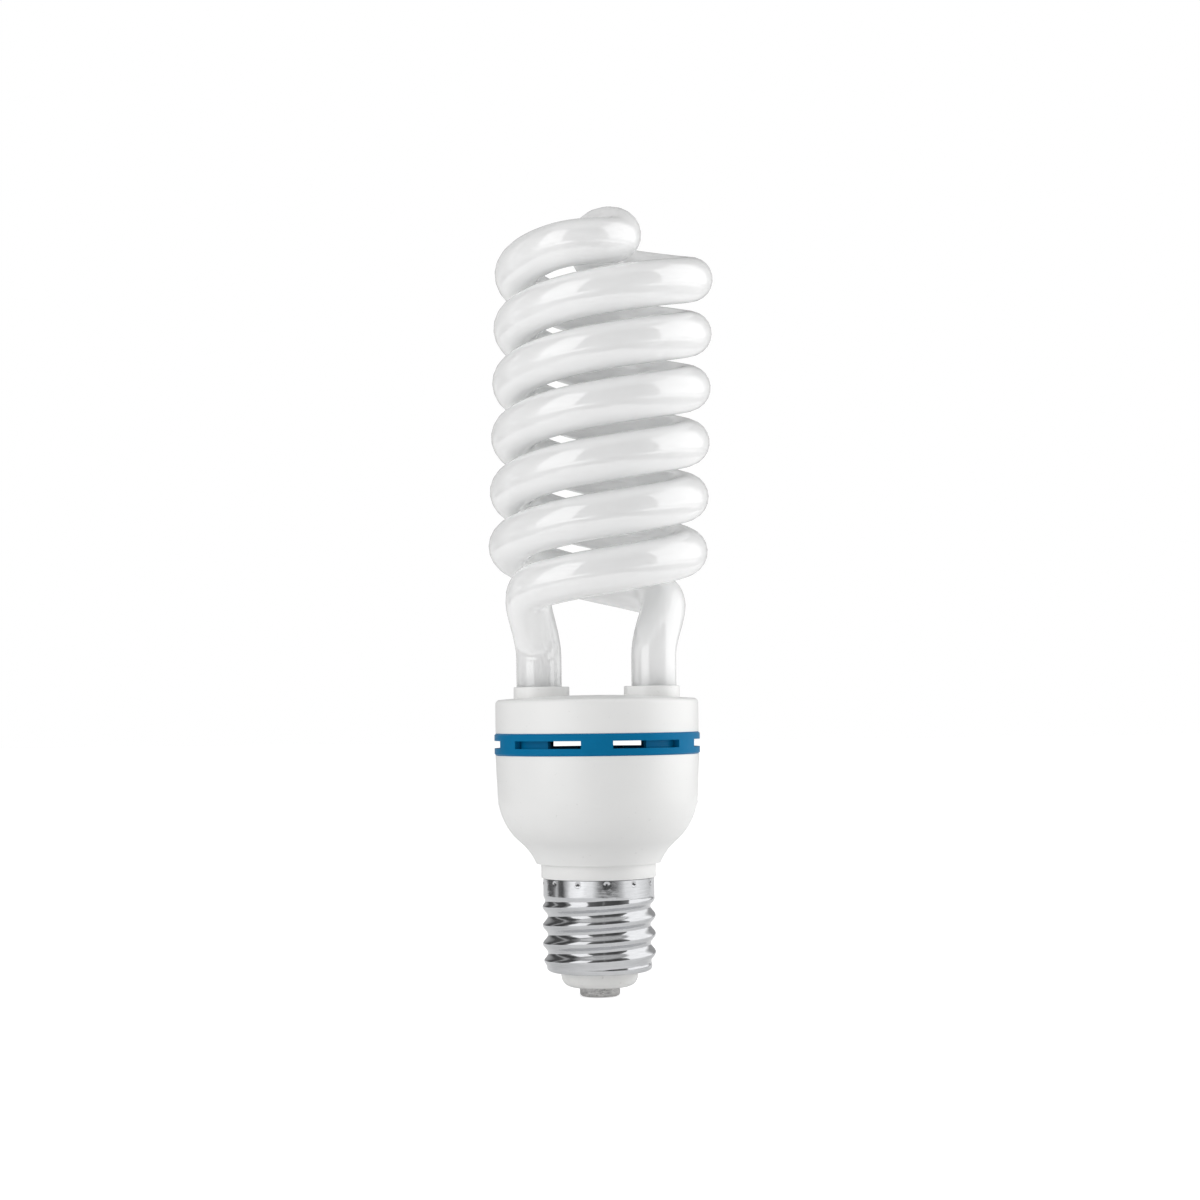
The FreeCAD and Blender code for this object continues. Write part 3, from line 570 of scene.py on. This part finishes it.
def makeGlassTube():
    topPull = leaned(heading(tube["bridgeHeading"])) * tube["bridgePull"] / 3
    middle = leanedPlace(up * (coilTop + tube["bridgeRise"]))
    back = [knot[::-1] for knot in reversed(halfRoute(-1))]
    knots = halfRoute(1) + [[middle - topPull, middle, middle + topPull]] + back

    path = bpy.data.curves.new("tubePath", "CURVE")
    path.dimensions = "3D"
    path.resolution_u = tube["stepsPerKnot"]
    path.bevel_depth = tube["diameter"] / 2 * mm
    path.bevel_resolution = tube["roundness"]
    path.use_fill_caps = True
    spline = path.splines.new("BEZIER")
    spline.bezier_points.add(len(knots) - 1)
    for point, (behind, place, ahead) in zip(spline.bezier_points, knots):
        point.handle_left_type = point.handle_right_type = "FREE"
        point.handle_left, point.co, point.handle_right = behind * mm, place * mm, ahead * mm
    carrier = bpy.data.objects.new("tubePath", path)
    mesh = bpy.data.meshes.new_from_object(carrier)
    bpy.data.objects.remove(carrier)

    shape = bmesh.new()
    shape.from_mesh(mesh)
    bmesh.ops.remove_doubles(shape, verts=shape.verts, dist=hair)
    closeLegs(shape)
    bmesh.ops.recalc_face_normals(shape, faces=shape.faces)
    mesh = meshOf(shape, "glassTube")
    addPiece("glassTube", mesh, "coatedGlass", "glass_tube", tube["smoothAngle"])


def closeLegs(shape):
    # Draws each leg's end down into its flattened seal
    bottom = tube["legEnd"] * mm
    shoulder = tube["pinchShoulder"] * mm
    end = (tube["legEnd"] - tube["pinchEnd"]) * mm
    flat = Vector((tube["pinchThickness"], tube["pinchWidth"])) / tube["diameter"]
    caps = [f for f in shape.faces if len(f.verts) > 4 and f.calc_center_median().z < bottom + 10 * hair]
    steps = tube["shoulderSteps"]
    drops = [shoulder * i / steps for i in range(1, steps + 1)] + [(shoulder + end) / 2, end]
    for cap in caps:
        x = cap.calc_center_median().x
        before = Vector((1, 1))
        face = cap
        for drop in drops:
            size = Vector((1, 1)).lerp(flat, eased(drop / shoulder))
            made = bmesh.ops.extrude_discrete_faces(shape, faces=[face])
            face = made["faces"][0]
            for vert in face.verts:
                vert.co.x = x + (vert.co.x - x) * size.x / before.x
                vert.co.y *= size.y / before.y
                vert.co.z = bottom - drop
            before = size


makeGlassTube()
print("glass tube made")


# Lower housing

bowl = {
    "wall": 2.0,
    "neckBottom": 14.25,
    "neckRadius": 17.2,
    "neckTopRadius": 18.65,
    "neckWall": 1.7,
    "bandBottom": 34.8,
    "collarBottom": 40.9,
    "collarTop": 45.85,
    "collarRadius": 19.95,
    "collarWall": 3.0,
    "lipRadius": 21.8,
    "flareRadius": 20.24,
    "flareAngle": 24.4,
    "kneeRadius": 27.09,
    "kneeHeight": 53.28,
    "bellyRadius": 22.0,
    "bellyAngle": 49.5,
    "bellyCentre": 12.8,
    "bellyHeight": 70.01,
    "rimRadius": 35.4,
    "rimHeight": 83.46,
    "ledgeCount": 4,
    "ledgeTop": 79.26,
    "ledgeHeight": 13.0,
    "ledgeWidth": 3.0,
    "ledgeReach": 3.4,
    "ledgeRoot": 1.2,
    "edgeRound": 0.25,
    "edgeSteps": 3,
    "sideSteps": 20,
    "innerSteps": 12,
    "steps": 160,
    "smoothAngle": 32.0,
}


def bowlSide(inset, count):
    # Flare and belly from the lip up to the rim
    angle = math.radians(bowl["bellyAngle"])
    flareR = bowl["kneeRadius"] + bowl["flareRadius"] * math.cos(angle)
    flareZ = bowl["kneeHeight"] - bowl["flareRadius"] * math.sin(angle)
    start, end = 180 - bowl["flareAngle"], 180 - bowl["bellyAngle"]
    flare = arc(flareR, flareZ, bowl["flareRadius"] + inset, start, end, count)
    radius = bowl["bellyRadius"] - inset
    belly = arc(bowl["bellyCentre"], bowl["bellyHeight"], radius, -bowl["bellyAngle"], 0, count)
    rim = (bowl["rimRadius"] - inset, bowl["rimHeight"])
    return flare + belly[1:] + [rim]


def makeLowerHousing():
    neckBore = bowl["neckRadius"] - bowl["neckWall"]
    step = bowl["neckTopRadius"] - bowl["neckRadius"]
    soft, softSteps = bowl["edgeRound"], bowl["edgeSteps"]
    outside = [
        (neckBore, bowl["neckBottom"]),
        (bowl["neckRadius"], bowl["neckBottom"]),
        (bowl["neckRadius"], bowl["bandBottom"] - step),
        (bowl["neckTopRadius"], bowl["bandBottom"]),
        (bowl["neckTopRadius"], bowl["collarBottom"]),
    ]
    outside += arc(bowl["collarRadius"] - soft, bowl["collarBottom"] + soft, soft, -90, 0, softSteps)
    outside += [(bowl["collarRadius"], bowl["collarTop"])]
    outside += arc(bowl["lipRadius"] - soft, bowl["collarTop"] + soft, soft, -90, 0, softSteps)
    outside += bowlSide(0, bowl["sideSteps"])[1:-1]
    outside += arc(bowl["rimRadius"] - soft, bowl["rimHeight"] - soft, soft, 0, 90, softSteps)
    inside = bowlSide(bowl["wall"], bowl["innerSteps"])[::-1]
    collarBore = bowl["collarRadius"] - bowl["collarWall"]
    inside += [
        (collarBore, bowl["collarBottom"] + step),
        (collarBore, bowl["bandBottom"]),
        (neckBore, bowl["bandBottom"] - step),
    ]
    mesh = meshOf(spinSection(outside + inside, bowl["steps"]), "lowerHousing")
    ledges = [ledgeMesh(360 / bowl["ledgeCount"] * i) for i in range(bowl["ledgeCount"])]
    mesh = cutOrJoin(mesh, ledges, "UNION")
    addPiece("lowerHousing", mesh, "whiteMoulding", "lower_housing", bowl["smoothAngle"])


def ledgeMesh(turn):
    # One of the ledges that the board rests on, run into the wall by its root
    reach, height = bowl["ledgeReach"] + bowl["ledgeRoot"], bowl["ledgeHeight"]
    place = bowl["rimRadius"] - bowl["wall"] + bowl["ledgeRoot"] - reach / 2
    shape = bmesh.new()
    bmesh.ops.create_cube(shape, size=1.0)
    bmesh.ops.scale(shape, vec=(reach * mm, bowl["ledgeWidth"] * mm, height * mm), verts=shape.verts)
    bmesh.ops.translate(shape, vec=(place * mm, 0, (bowl["ledgeTop"] - height / 2) * mm), verts=shape.verts)
    bmesh.ops.rotate(shape, cent=(0, 0, 0), matrix=turned(turn), verts=shape.verts)
    return meshOf(shape, "ledge")


makeLowerHousing()
print("lower housing made")


# Vent ring

ring = {
    "radius": 35.7,
    "wall": 2.3,
    "bottom": 83.46,
    "top": 90.96,
    "chamfer": 0.5,
    "windowCount": 6,
    "windowHeight": 2.6,
    "windowAngle": 42.6,
    "frontAngle": 270.0,
    "tabStart": 30.0,
    "tabEnd": 62.0,
    "tabRoot": 9.0,
    "tabOuter": 33.1,
    "tabInner": 31.4,
    "tabBottom": 80.86,
    "tabTop": 94.36,
    "overshoot": 1.0,
    "rootStart": 0.2,
    "rootBite": 0.6,
    "rootMargin": 0.3,
    "rootTrim": 0.2,
    "smoothAngle": 32.0,
    "stepAngle": 2.0,
    "steps": 180,
}


def sectorMesh(name, inner, outer, bottom, top, start, end):
    # Curved block between two radii and two angles
    shape = bmesh.new()
    corners = [(inner, bottom), (outer, bottom), (outer, top), (inner, top)]
    verts = [shape.verts.new((r * mm, 0, z * mm)) for r, z in corners]
    face = shape.faces.new(verts)
    bmesh.ops.rotate(shape, cent=(0, 0, 0), matrix=turned(start), verts=shape.verts)
    steps = max(2, round((end - start) / ring["stepAngle"]))
    bmesh.ops.spin(
        shape, geom=[face], axis=up, cent=(0, 0, 0), angle=math.radians(end - start), steps=steps
    )
    bmesh.ops.recalc_face_normals(shape, faces=shape.faces)
    return meshOf(shape, name)


def makeVentRing():
    inner = ring["radius"] - ring["wall"]
    chamfer = ring["chamfer"]
    section = [
        (inner, ring["bottom"]),
        (ring["radius"] - chamfer, ring["bottom"]),
        (ring["radius"], ring["bottom"] + chamfer),
        (ring["radius"], ring["top"] - chamfer),
        (ring["radius"] - chamfer, ring["top"]),
        (inner, ring["top"]),
    ]
    mesh = meshOf(spinSection(section, ring["steps"]), "ventRing")
    middle = (ring["bottom"] + ring["top"]) / 2
    low, high = middle - ring["windowHeight"] / 2, middle + ring["windowHeight"] / 2
    near, far = inner - ring["overshoot"], ring["radius"] + ring["overshoot"]
    windows = []
    for i in range(ring["windowCount"]):
        start = ring["frontAngle"] + 360 / ring["windowCount"] * (i + 0.5) - ring["windowAngle"] / 2
        windows.append(sectorMesh("window", near, far, low, high, start, start + ring["windowAngle"]))
    mesh = cutOrJoin(mesh, windows, "DIFFERENCE")
    tabs = []
    for face in (ring["frontAngle"], ring["frontAngle"] + 180):
        for side in (-1, 1):
            tabs += tabMeshes(face, side, inner)
    mesh = cutOrJoin(mesh, tabs, "UNION")
    addPiece("ventRing", mesh, "blueMoulding", "vent_ring", ring["smoothAngle"])


def tabMeshes(face, side, inner):
    # A snap tab and the root that joins it to the ring
    end = face + side * ring["tabEnd"]
    angles = sorted((face + side * ring["tabStart"], end))
    tab = sectorMesh("tab", ring["tabInner"], ring["tabOuter"], ring["tabBottom"], ring["tabTop"], *angles)
    first, last = sorted((end - side * ring["tabRoot"], end))
    near, far = ring["tabInner"] + ring["rootStart"], inner + ring["rootBite"]
    low, high = ring["bottom"] + ring["rootMargin"], ring["top"] - ring["rootMargin"]
    root = sectorMesh("root", near, far, low, high, first + ring["rootTrim"], last - ring["rootTrim"])
    return [tab, root]


makeVentRing()
print("vent ring made")


# Upper cover

cover = {
    "radius": 35.3,
    "bottom": 90.96,
    "top": 102.66,
    "corner": 1.6,
    "dome": 1.35,
    "wall": 2.0,
    "socketRadius": 9.7,
    "socketSpacing": 38.4,
    "socketTop": 107.01,
    "socketBottom": 93.96,
    "socketEdge": 0.5,
    "boreRadius": 8.25,
    "legSpacing": 40.0,
    "edge": 0.2,
    "overshoot": 1.0,
    "cornerSteps": 8,
    "domeSteps": 12,
    "edgeSteps": 5,
    "steps": 160,
    "socketSteps": 96,
    "smoothAngle": 32.0,
}


def makeUpperCover():
    radius, corner, dome = cover["radius"], cover["corner"], cover["dome"]
    domeRadius = ((radius - corner) ** 2 + dome ** 2) / (2 * dome)
    domeEdge = math.degrees(math.acos((radius - corner) / domeRadius))
    section = [(radius - cover["wall"], cover["bottom"]), (radius - cover["edge"], cover["bottom"])]
    section += [(radius, cover["bottom"] + cover["edge"])]
    section += arc(radius - corner, cover["top"] - corner, corner, 0, 90, cover["cornerSteps"])
    section += arc(0, cover["top"] + dome - domeRadius, domeRadius, domeEdge, 90, cover["domeSteps"])[1:]
    section += [(0, cover["top"] - cover["wall"]), (radius - cover["wall"], cover["top"] - cover["wall"])]
    mesh = meshOf(spinSection(section, cover["steps"]), "upperCover")
    sockets, bores = [], []
    for side in (-1, 1):
        edge = cover["socketEdge"]
        post = [(0, cover["socketBottom"]), (cover["socketRadius"], cover["socketBottom"])]
        post += arc(cover["socketRadius"] - edge, cover["socketTop"] - edge, edge, 0, 90, cover["edgeSteps"])
        post += [(0, cover["socketTop"])]
        shape = spinSection(post, cover["socketSteps"])
        bmesh.ops.translate(shape, vec=(side * cover["socketSpacing"] / 2 * mm, 0, 0), verts=shape.verts)
        sockets.append(meshOf(shape, "socket"))
        low, high = cover["socketBottom"] - cover["overshoot"], cover["socketTop"] + cover["overshoot"]
        hole = [(0, low), (cover["boreRadius"], low), (cover["boreRadius"], high), (0, high)]
        shape = spinSection(hole, cover["socketSteps"])
        bmesh.ops.translate(shape, vec=(side * cover["legSpacing"] / 2 * mm, 0, 0), verts=shape.verts)
        bores.append(meshOf(shape, "bore"))
    mesh = cutOrJoin(mesh, sockets, "UNION")
    mesh = cutOrJoin(mesh, bores, "DIFFERENCE")
    addPiece("upperCover", mesh, "whiteMoulding", "upper_cover", cover["smoothAngle"])


makeUpperCover()
print("upper cover made")


# Screw cap

cap = {
    "bottom": 8.2,
    "lipTop": 9.9,
    "slopeRise": 0.3,
    "lipFlat": 16.2,
    "opening": 13.4,
    "endRadius": 18.3,
    "bandBottom": 34.8,
    "top": 40.9,
    "bandRadius": 19.3,
    "midRadius": 18.75,
    "swing": 0.9,
    "pitch": 6.35,
    "crestHeight": 14.9,
    "runout": 3.4,
    "wall": 0.45,
    "rollProfile": ((0.12, 0.38), (0.45, 0.72), (0.9, 0.92)),
    "steps": 360,
    "rowHeight": 0.4,
    "stakeRows": 38.2,
    "fineRow": 0.18,
    "stakeCount": 12,
    "stakeAngle": 278.2,
    "stakeHeight": 39.4,
    "stakeSpread": 0.5,
    "stakeReach": 2.5,
    "stakeDepth": 0.45,
    "smoothAngle": 50.0,
}


def threadRadius(angle, height):
    # The level section is a circle set off the axis, which turns once a pitch
    rise = eased((height - cap["lipTop"]) / cap["runout"])
    fall = eased((cap["bandBottom"] - height) / cap["runout"])
    offset = cap["swing"] * min(rise, fall)
    radius = cap["endRadius"] * (1 - rise) + cap["midRadius"] * rise
    radius = cap["bandRadius"] * (1 - fall) + radius * fall
    lead = angle - 2 * math.pi * (height - cap["crestHeight"]) / cap["pitch"]
    return offset * math.cos(lead) + math.sqrt(radius ** 2 - (offset * math.sin(lead)) ** 2)


def makeCapShell():
    shape = spinSection([(1.0, height) for height in shellRows()], cap["steps"], closed=False)
    for vert in shape.verts:
        angle = math.atan2(vert.co.y, vert.co.x)
        radius = threadRadius(angle, vert.co.z / mm) * mm
        vert.co.x, vert.co.y = radius * math.cos(angle), radius * math.sin(angle)
    rollEnd(shape)
    bmesh.ops.recalc_face_normals(shape, faces=shape.faces)
    middles = [(f.normal, f.calc_center_median()) for f in shape.faces]
    if sum(normal.dot(Vector((middle.x, middle.y, 0))) for normal, middle in middles) < 0:
        bmesh.ops.reverse_faces(shape, faces=shape.faces)
    punchMarks(shape)
    body = linked("body", meshOf(shape, "capShell"))
    thickness = body.modifiers.new("wall", "SOLIDIFY")
    thickness.thickness = cap["wall"] * mm
    thickness.offset = -1.0
    addPiece("capShell", meshLeft(body), "platedShell", "cap_shell", cap["smoothAngle"])


def shellRows():
    # Heights up the shell, closer together where the punch marks are
    rows = round((cap["stakeRows"] - cap["lipTop"]) / cap["rowHeight"])
    fineRows = round((cap["top"] - cap["stakeRows"]) / cap["fineRow"])
    heights = [cap["lipTop"] + (cap["stakeRows"] - cap["lipTop"]) * i / rows for i in range(rows + 1)]
    return heights + [
        cap["stakeRows"] + (cap["top"] - cap["stakeRows"]) * i / fineRows for i in range(1, fineRows + 1)
    ]


def rollEnd(shape):
    # Rolls the lower end in over the insulator
    roll = cap["lipTop"] - cap["bottom"] - cap["slopeRise"]
    edge, top = cap["endRadius"], cap["lipTop"]
    rings = [(edge - inwards * roll, top - down * roll) for inwards, down in cap["rollProfile"]]
    rings += [(cap["lipFlat"], cap["bottom"] + cap["slopeRise"]), (cap["opening"], cap["bottom"])]
    for ringRadius, ringHeight in rings:
        lowest = min(v.co.z for v in shape.verts)
        rim = [e for e in shape.edges if e.is_boundary and all(v.co.z < lowest + hair for v in e.verts)]
        made = bmesh.ops.extrude_edge_only(shape, edges=rim)
        for vert in [v for v in made["geom"] if isinstance(v, bmesh.types.BMVert)]:
            angle = math.atan2(vert.co.y, vert.co.x)
            vert.co = Vector((ringRadius * math.cos(angle), ringRadius * math.sin(angle), ringHeight)) * mm


def punchMarks(shape):
    # Dents that lock the shell to the housing's neck
    for i in range(cap["stakeCount"]):
        out = heading(cap["stakeAngle"] + 360 / cap["stakeCount"] * i)
        mark = (out * cap["bandRadius"] + up * cap["stakeHeight"]) * mm
        for vert in shape.verts:
            gap = (vert.co - mark).length / (cap["stakeSpread"] * mm)
            if gap < cap["stakeReach"]:
                level = Vector((vert.co.x, vert.co.y, 0))
                vert.co -= level.normalized() * cap["stakeDepth"] * mm * math.exp(-gap * gap)


makeCapShell()
print("cap shell made")


# Insulator and contact

insulator = {
    "foot": 8.9,
    "bottom": 3.2,
    "brim": 13.4,
    "brimHeight": 8.2,
    "bulge": 1.2,
    "flange": 15.8,
    "seat": 8.65,
    "seatOuter": 8.9,
    "top": 10.75,
    "wall": 2.6,
    "bore": 1.6,
    "boss": 2.4,
    "bossTop": 8.0,
    "bellySteps": 12,
    "steps": 128,
    "smoothAngle": 35.0,
}


def makeInsulator():
    start = Vector((insulator["foot"], insulator["bottom"]))
    end = Vector((insulator["brim"], insulator["brimHeight"]))
    middle = (start + end) / 2 + Vector((insulator["bulge"], -insulator["bulge"]))
    pull = middle * 2 - (start + end) / 2
    shares = [i / insulator["bellySteps"] for i in range(insulator["bellySteps"] + 1)]
    belly = [tuple(start * (1 - t) ** 2 + pull * 2 * t * (1 - t) + end * t ** 2) for t in shares]
    floor = insulator["bottom"] + insulator["wall"]
    section = [(insulator["bore"], insulator["bottom"])] + belly
    section += [
        (insulator["brim"], insulator["seat"]),
        (insulator["flange"], insulator["seatOuter"]),
        (insulator["flange"], insulator["top"]),
        (insulator["brim"], insulator["top"]),
        (insulator["foot"], floor),
        (insulator["boss"], floor),
        (insulator["boss"], insulator["bossTop"]),
        (insulator["bore"], insulator["bossTop"]),
    ]
    mesh = meshOf(spinSection(section, insulator["steps"]), "capInsulator")
    angle = insulator["smoothAngle"]
    addPiece("capInsulator", mesh, "glazedInsulator", "cap_insulator", angle)


makeInsulator()

contact = {
    "radius": 7.0,
    "height": 3.2,
    "edge": 1.1,
    "floor": 1.4,
    "stem": 1.5,
    "bore": 1.0,
    "rim": 2.3,
    "bossTop": 8.0,
    "rimTop": 8.4,
    "faceRings": (0.0, 0.4, 0.7),
    "edgeSteps": 8,
    "sideSteps": 6,
    "steps": 128,
    "smoothAngle": 40.0,
}


def makeContact():
    radius, edge, steps = contact["radius"], contact["edge"], contact["sideSteps"]
    section = [(radius * share, 0) for share in contact["faceRings"]]
    section += arc(radius - edge, edge, edge, -90, 0, contact["edgeSteps"])
    section += [(radius, edge + (contact["height"] - edge) * i / steps) for i in range(1, steps + 1)]
    section += [
        (contact["stem"], contact["height"]),
        (contact["stem"], contact["bossTop"]),
        (contact["rim"], contact["bossTop"]),
        (contact["rim"], contact["rimTop"]),
        (contact["bore"], contact["rimTop"]),
        (contact["bore"], contact["floor"]),
        (0, contact["floor"]),
    ]
    mesh = meshOf(spinSection(section, contact["steps"]), "centreContact")
    addPiece("centreContact", mesh, "solderedTin", "centre_contact", contact["smoothAngle"])


makeContact()
print("insulator and contact made")


# Studio

studio = {
    "cameraDistance": 855.0,
    "cameraHeight": 100.0,
    "cameraSide": 1.54,
    "tilt": 2.484,
    "roll": -0.65,
    "lens": 73.62,
    "nearest": 50.0,
    "furthest": 50000.0,
    "ambient": 0.5,
    "ambientBelow": 1.05,
    "floorGlow": 0.7,
    "floorGleam": 0.2,
    "floorNear": -380.0,
    "floorFar": 6000.0,
    "floorNearWidth": 400.0,
    "floorFarWidth": 3900.0,
    "floorDrop": 0.3,
    "floorSquares": 8,
    "windowLight": 1.3,
    "ceiling": 0.6,
}

# Brightness round the room in the strip just under eye level, then in the rest, and its windows
stripStops = [
    (0.0, 0.5), (0.08, 0.6), (0.12, 0.3), (0.16, 0.1), (0.2, 0.16), (0.228, 0.65), (0.25, 0.14), (0.28, 0.1),
    (0.33, 1.2), (0.4, 1.5), (0.46, 1.2), (0.505, 0.3), (0.535, 0.06), (0.57, 0.08), (0.61, 0.4), (0.66, 1.1),
    (0.74, 1.2), (0.84, 0.85), (0.9, 0.35), (0.95, 0.5),
]
wallStops = [
    (0.0, 0.5), (0.08, 0.4), (0.13, 0.08), (0.17, 0.1), (0.19, 0.5), (0.21, 0.1), (0.27, 0.06), (0.3, 0.3),
    (0.5, 0.1), (0.62, 0.08), (0.7, 0.3), (0.9, 0.4),
]
windowStops = [
    (0.31, 0.0), (0.315, 1.0), (0.425, 1.0), (0.43, 0.0), (0.5225, 0.0), (0.5235, 0.3), (0.5245, 0.3),
    (0.5255, 0.0), (0.675, 0.0), (0.68, 1.0), (0.86, 1.0), (0.9, 0.0),
]
floorStops = [
    (0.0, 0.8), (0.1, 0.6), (0.17, 0.35), (0.25, 0.6), (0.33, 1.1), (0.45, 1.15), (0.53, 0.75), (0.6, 0.8),
    (0.7, 1.15), (0.82, 1.0), (0.9, 0.6),
]
# The same going up, from straight down at 0 to straight up at 1
stripHeights = [(0.4, 0.0), (0.415, 1.0), (0.48, 1.0), (0.492, 0.0)]
windowHeights = [(0.5, 0.0), (0.506, 1.0), (0.91, 1.0), (0.93, 0.0)]
ceilingHeights = [(0.9, 0.0), (0.97, 1.0)]
floorHeights = [(0.17, 1.0), (0.2, 0.0)]
belowHeights = [(0.45, 1.0), (0.55, 0.0)]
frontLight = [(0.35, 1.2), (0.75, 0.6)]

# Softboxes: width and height, where they stand and aim, and their brightness
softboxes = {
    "leftSoftbox": ((700, 800), (-1020, -500, 400), (0, 0, 140), 2.3),
    "rightSoftbox": ((800, 900), (1050, 200, 310), (0, 0, 140), 2.85),
    "topSoftbox": ((500, 400), (0, -100, 1100), (0, 0, 150), 0.4),
}


def makeLamp(name, size, place, target, radiance):
    light = bpy.data.lights.new(name, "AREA")
    light.shape = "RECTANGLE"
    light.size, light.size_y = size[0] * mm, size[1] * mm
    light.energy = radiance * math.pi * light.size * light.size_y
    lamp = linked(name, light)
    lamp.location = Vector(place) * mm
    lamp.rotation_euler = (Vector(target) * mm - lamp.location).to_track_quat("-Z", "Y").to_euler()
    lamp.visible_glossy = False


def makeFloor():
    shape = bmesh.new()
    squares = studio["floorSquares"]
    bmesh.ops.create_grid(shape, x_segments=squares, y_segments=squares, size=0.5)
    for vert in shape.verts:
        share = vert.co.y + 0.5
        vert.co.x *= (studio["floorNearWidth"] * (1 - share) + studio["floorFarWidth"] * share) * mm
        vert.co.y = (studio["floorNear"] * (1 - share) + studio["floorFar"] * share) * mm
        vert.co.z = -studio["floorDrop"] * mm
    floor = linked("floor", meshOf(shape, "floor"))
    paper = Surface("paleFloor", Roughness=0.9, Specular_IOR_Level=0.1)
    paper.set("Base Color", paper.mix(paper.noise(30, 3), 0.87, 0.9))
    seen, mirrored, through = paper.rays()
    glow = (seen + through) * studio["floorGlow"] + mirrored * studio["floorGleam"]
    glow = paper.node("Emission", None, {"Strength": glow})
    lit = paper.node("AddShader", None, {0: Amount(paper, paper.shader.outputs[0]), 1: glow})
    paper.plug(paper.tree.nodes["Material Output"].inputs["Surface"], lit)
    floor.data.materials.append(paper.material)


def makeWorld():
    # Even light for matt surfaces, and for glossy ones a room with two windows and dark corners.
    # Directions are compass shares: 0.5 is towards the camera, less is to its left.
    world = bpy.data.worlds.new("studio")
    bpy.context.scene.world = world
    world.use_nodes = True
    sky = Finish(world.node_tree)
    background = world.node_tree.nodes["Background"]
    direction = sky.node("TexCoord", output=0)
    x, y, z = [sky.node("SeparateXYZ", None, {0: direction}, output=i) for i in range(3)]
    compass = sky.maths("ARCTAN2", x, 0 - y) / (2 * math.pi) + 0.5
    height = z * 0.5 + 0.5
    walls, strip = sky.ramp(compass, wallStops), sky.ramp(compass, stripStops)
    room = sky.mix(sky.ramp(height, stripHeights), walls, strip)
    room = sky.mix(sky.ramp(height, ceilingHeights), room, studio["ceiling"])
    windows = sky.ramp(compass, windowStops) * sky.ramp(height, windowHeights)
    room = sky.mix(windows, room, studio["windowLight"])
    room = sky.mix(sky.ramp(height, floorHeights), room, sky.ramp(compass, floorStops))
    plain = sky.mix(sky.ramp(height, belowHeights), studio["ambient"], studio["ambientBelow"])
    front = sky.ramp(y * 0.5 + 0.5, frontLight)
    settings = {"data_type": "RGBA", "blend_type": "MULTIPLY"}
    plain = sky.node("Mix", settings, {0: 1.0, 6: plain, 7: front}, output=2)
    seen, mirrored, through = sky.rays()
    light = sky.mix(mirrored, sky.mix(seen, plain, 1.0), room)
    sky.plug(background.inputs["Color"], sky.mix(through, light, 1.0))


def makeCamera():
    data = bpy.data.cameras.new("camera")
    data.sensor_width = 36.0
    data.lens = studio["lens"]
    data.clip_start, data.clip_end = studio["nearest"] * mm, studio["furthest"] * mm
    camera = linked("camera", data)
    aim = Matrix.Rotation(math.radians(90 + studio["tilt"]), 4, "X")
    place = Vector((studio["cameraSide"], -studio["cameraDistance"], studio["cameraHeight"])) * mm
    camera.matrix_world = Matrix.Translation(place) @ aim @ turned(studio["roll"], 4)
    bpy.context.scene.camera = camera


for name, lamp in softboxes.items():
    makeLamp(name, *lamp)
makeFloor()
makeWorld()
makeCamera()
bpy.context.scene.view_settings.view_transform = "Standard"
print("studio made")
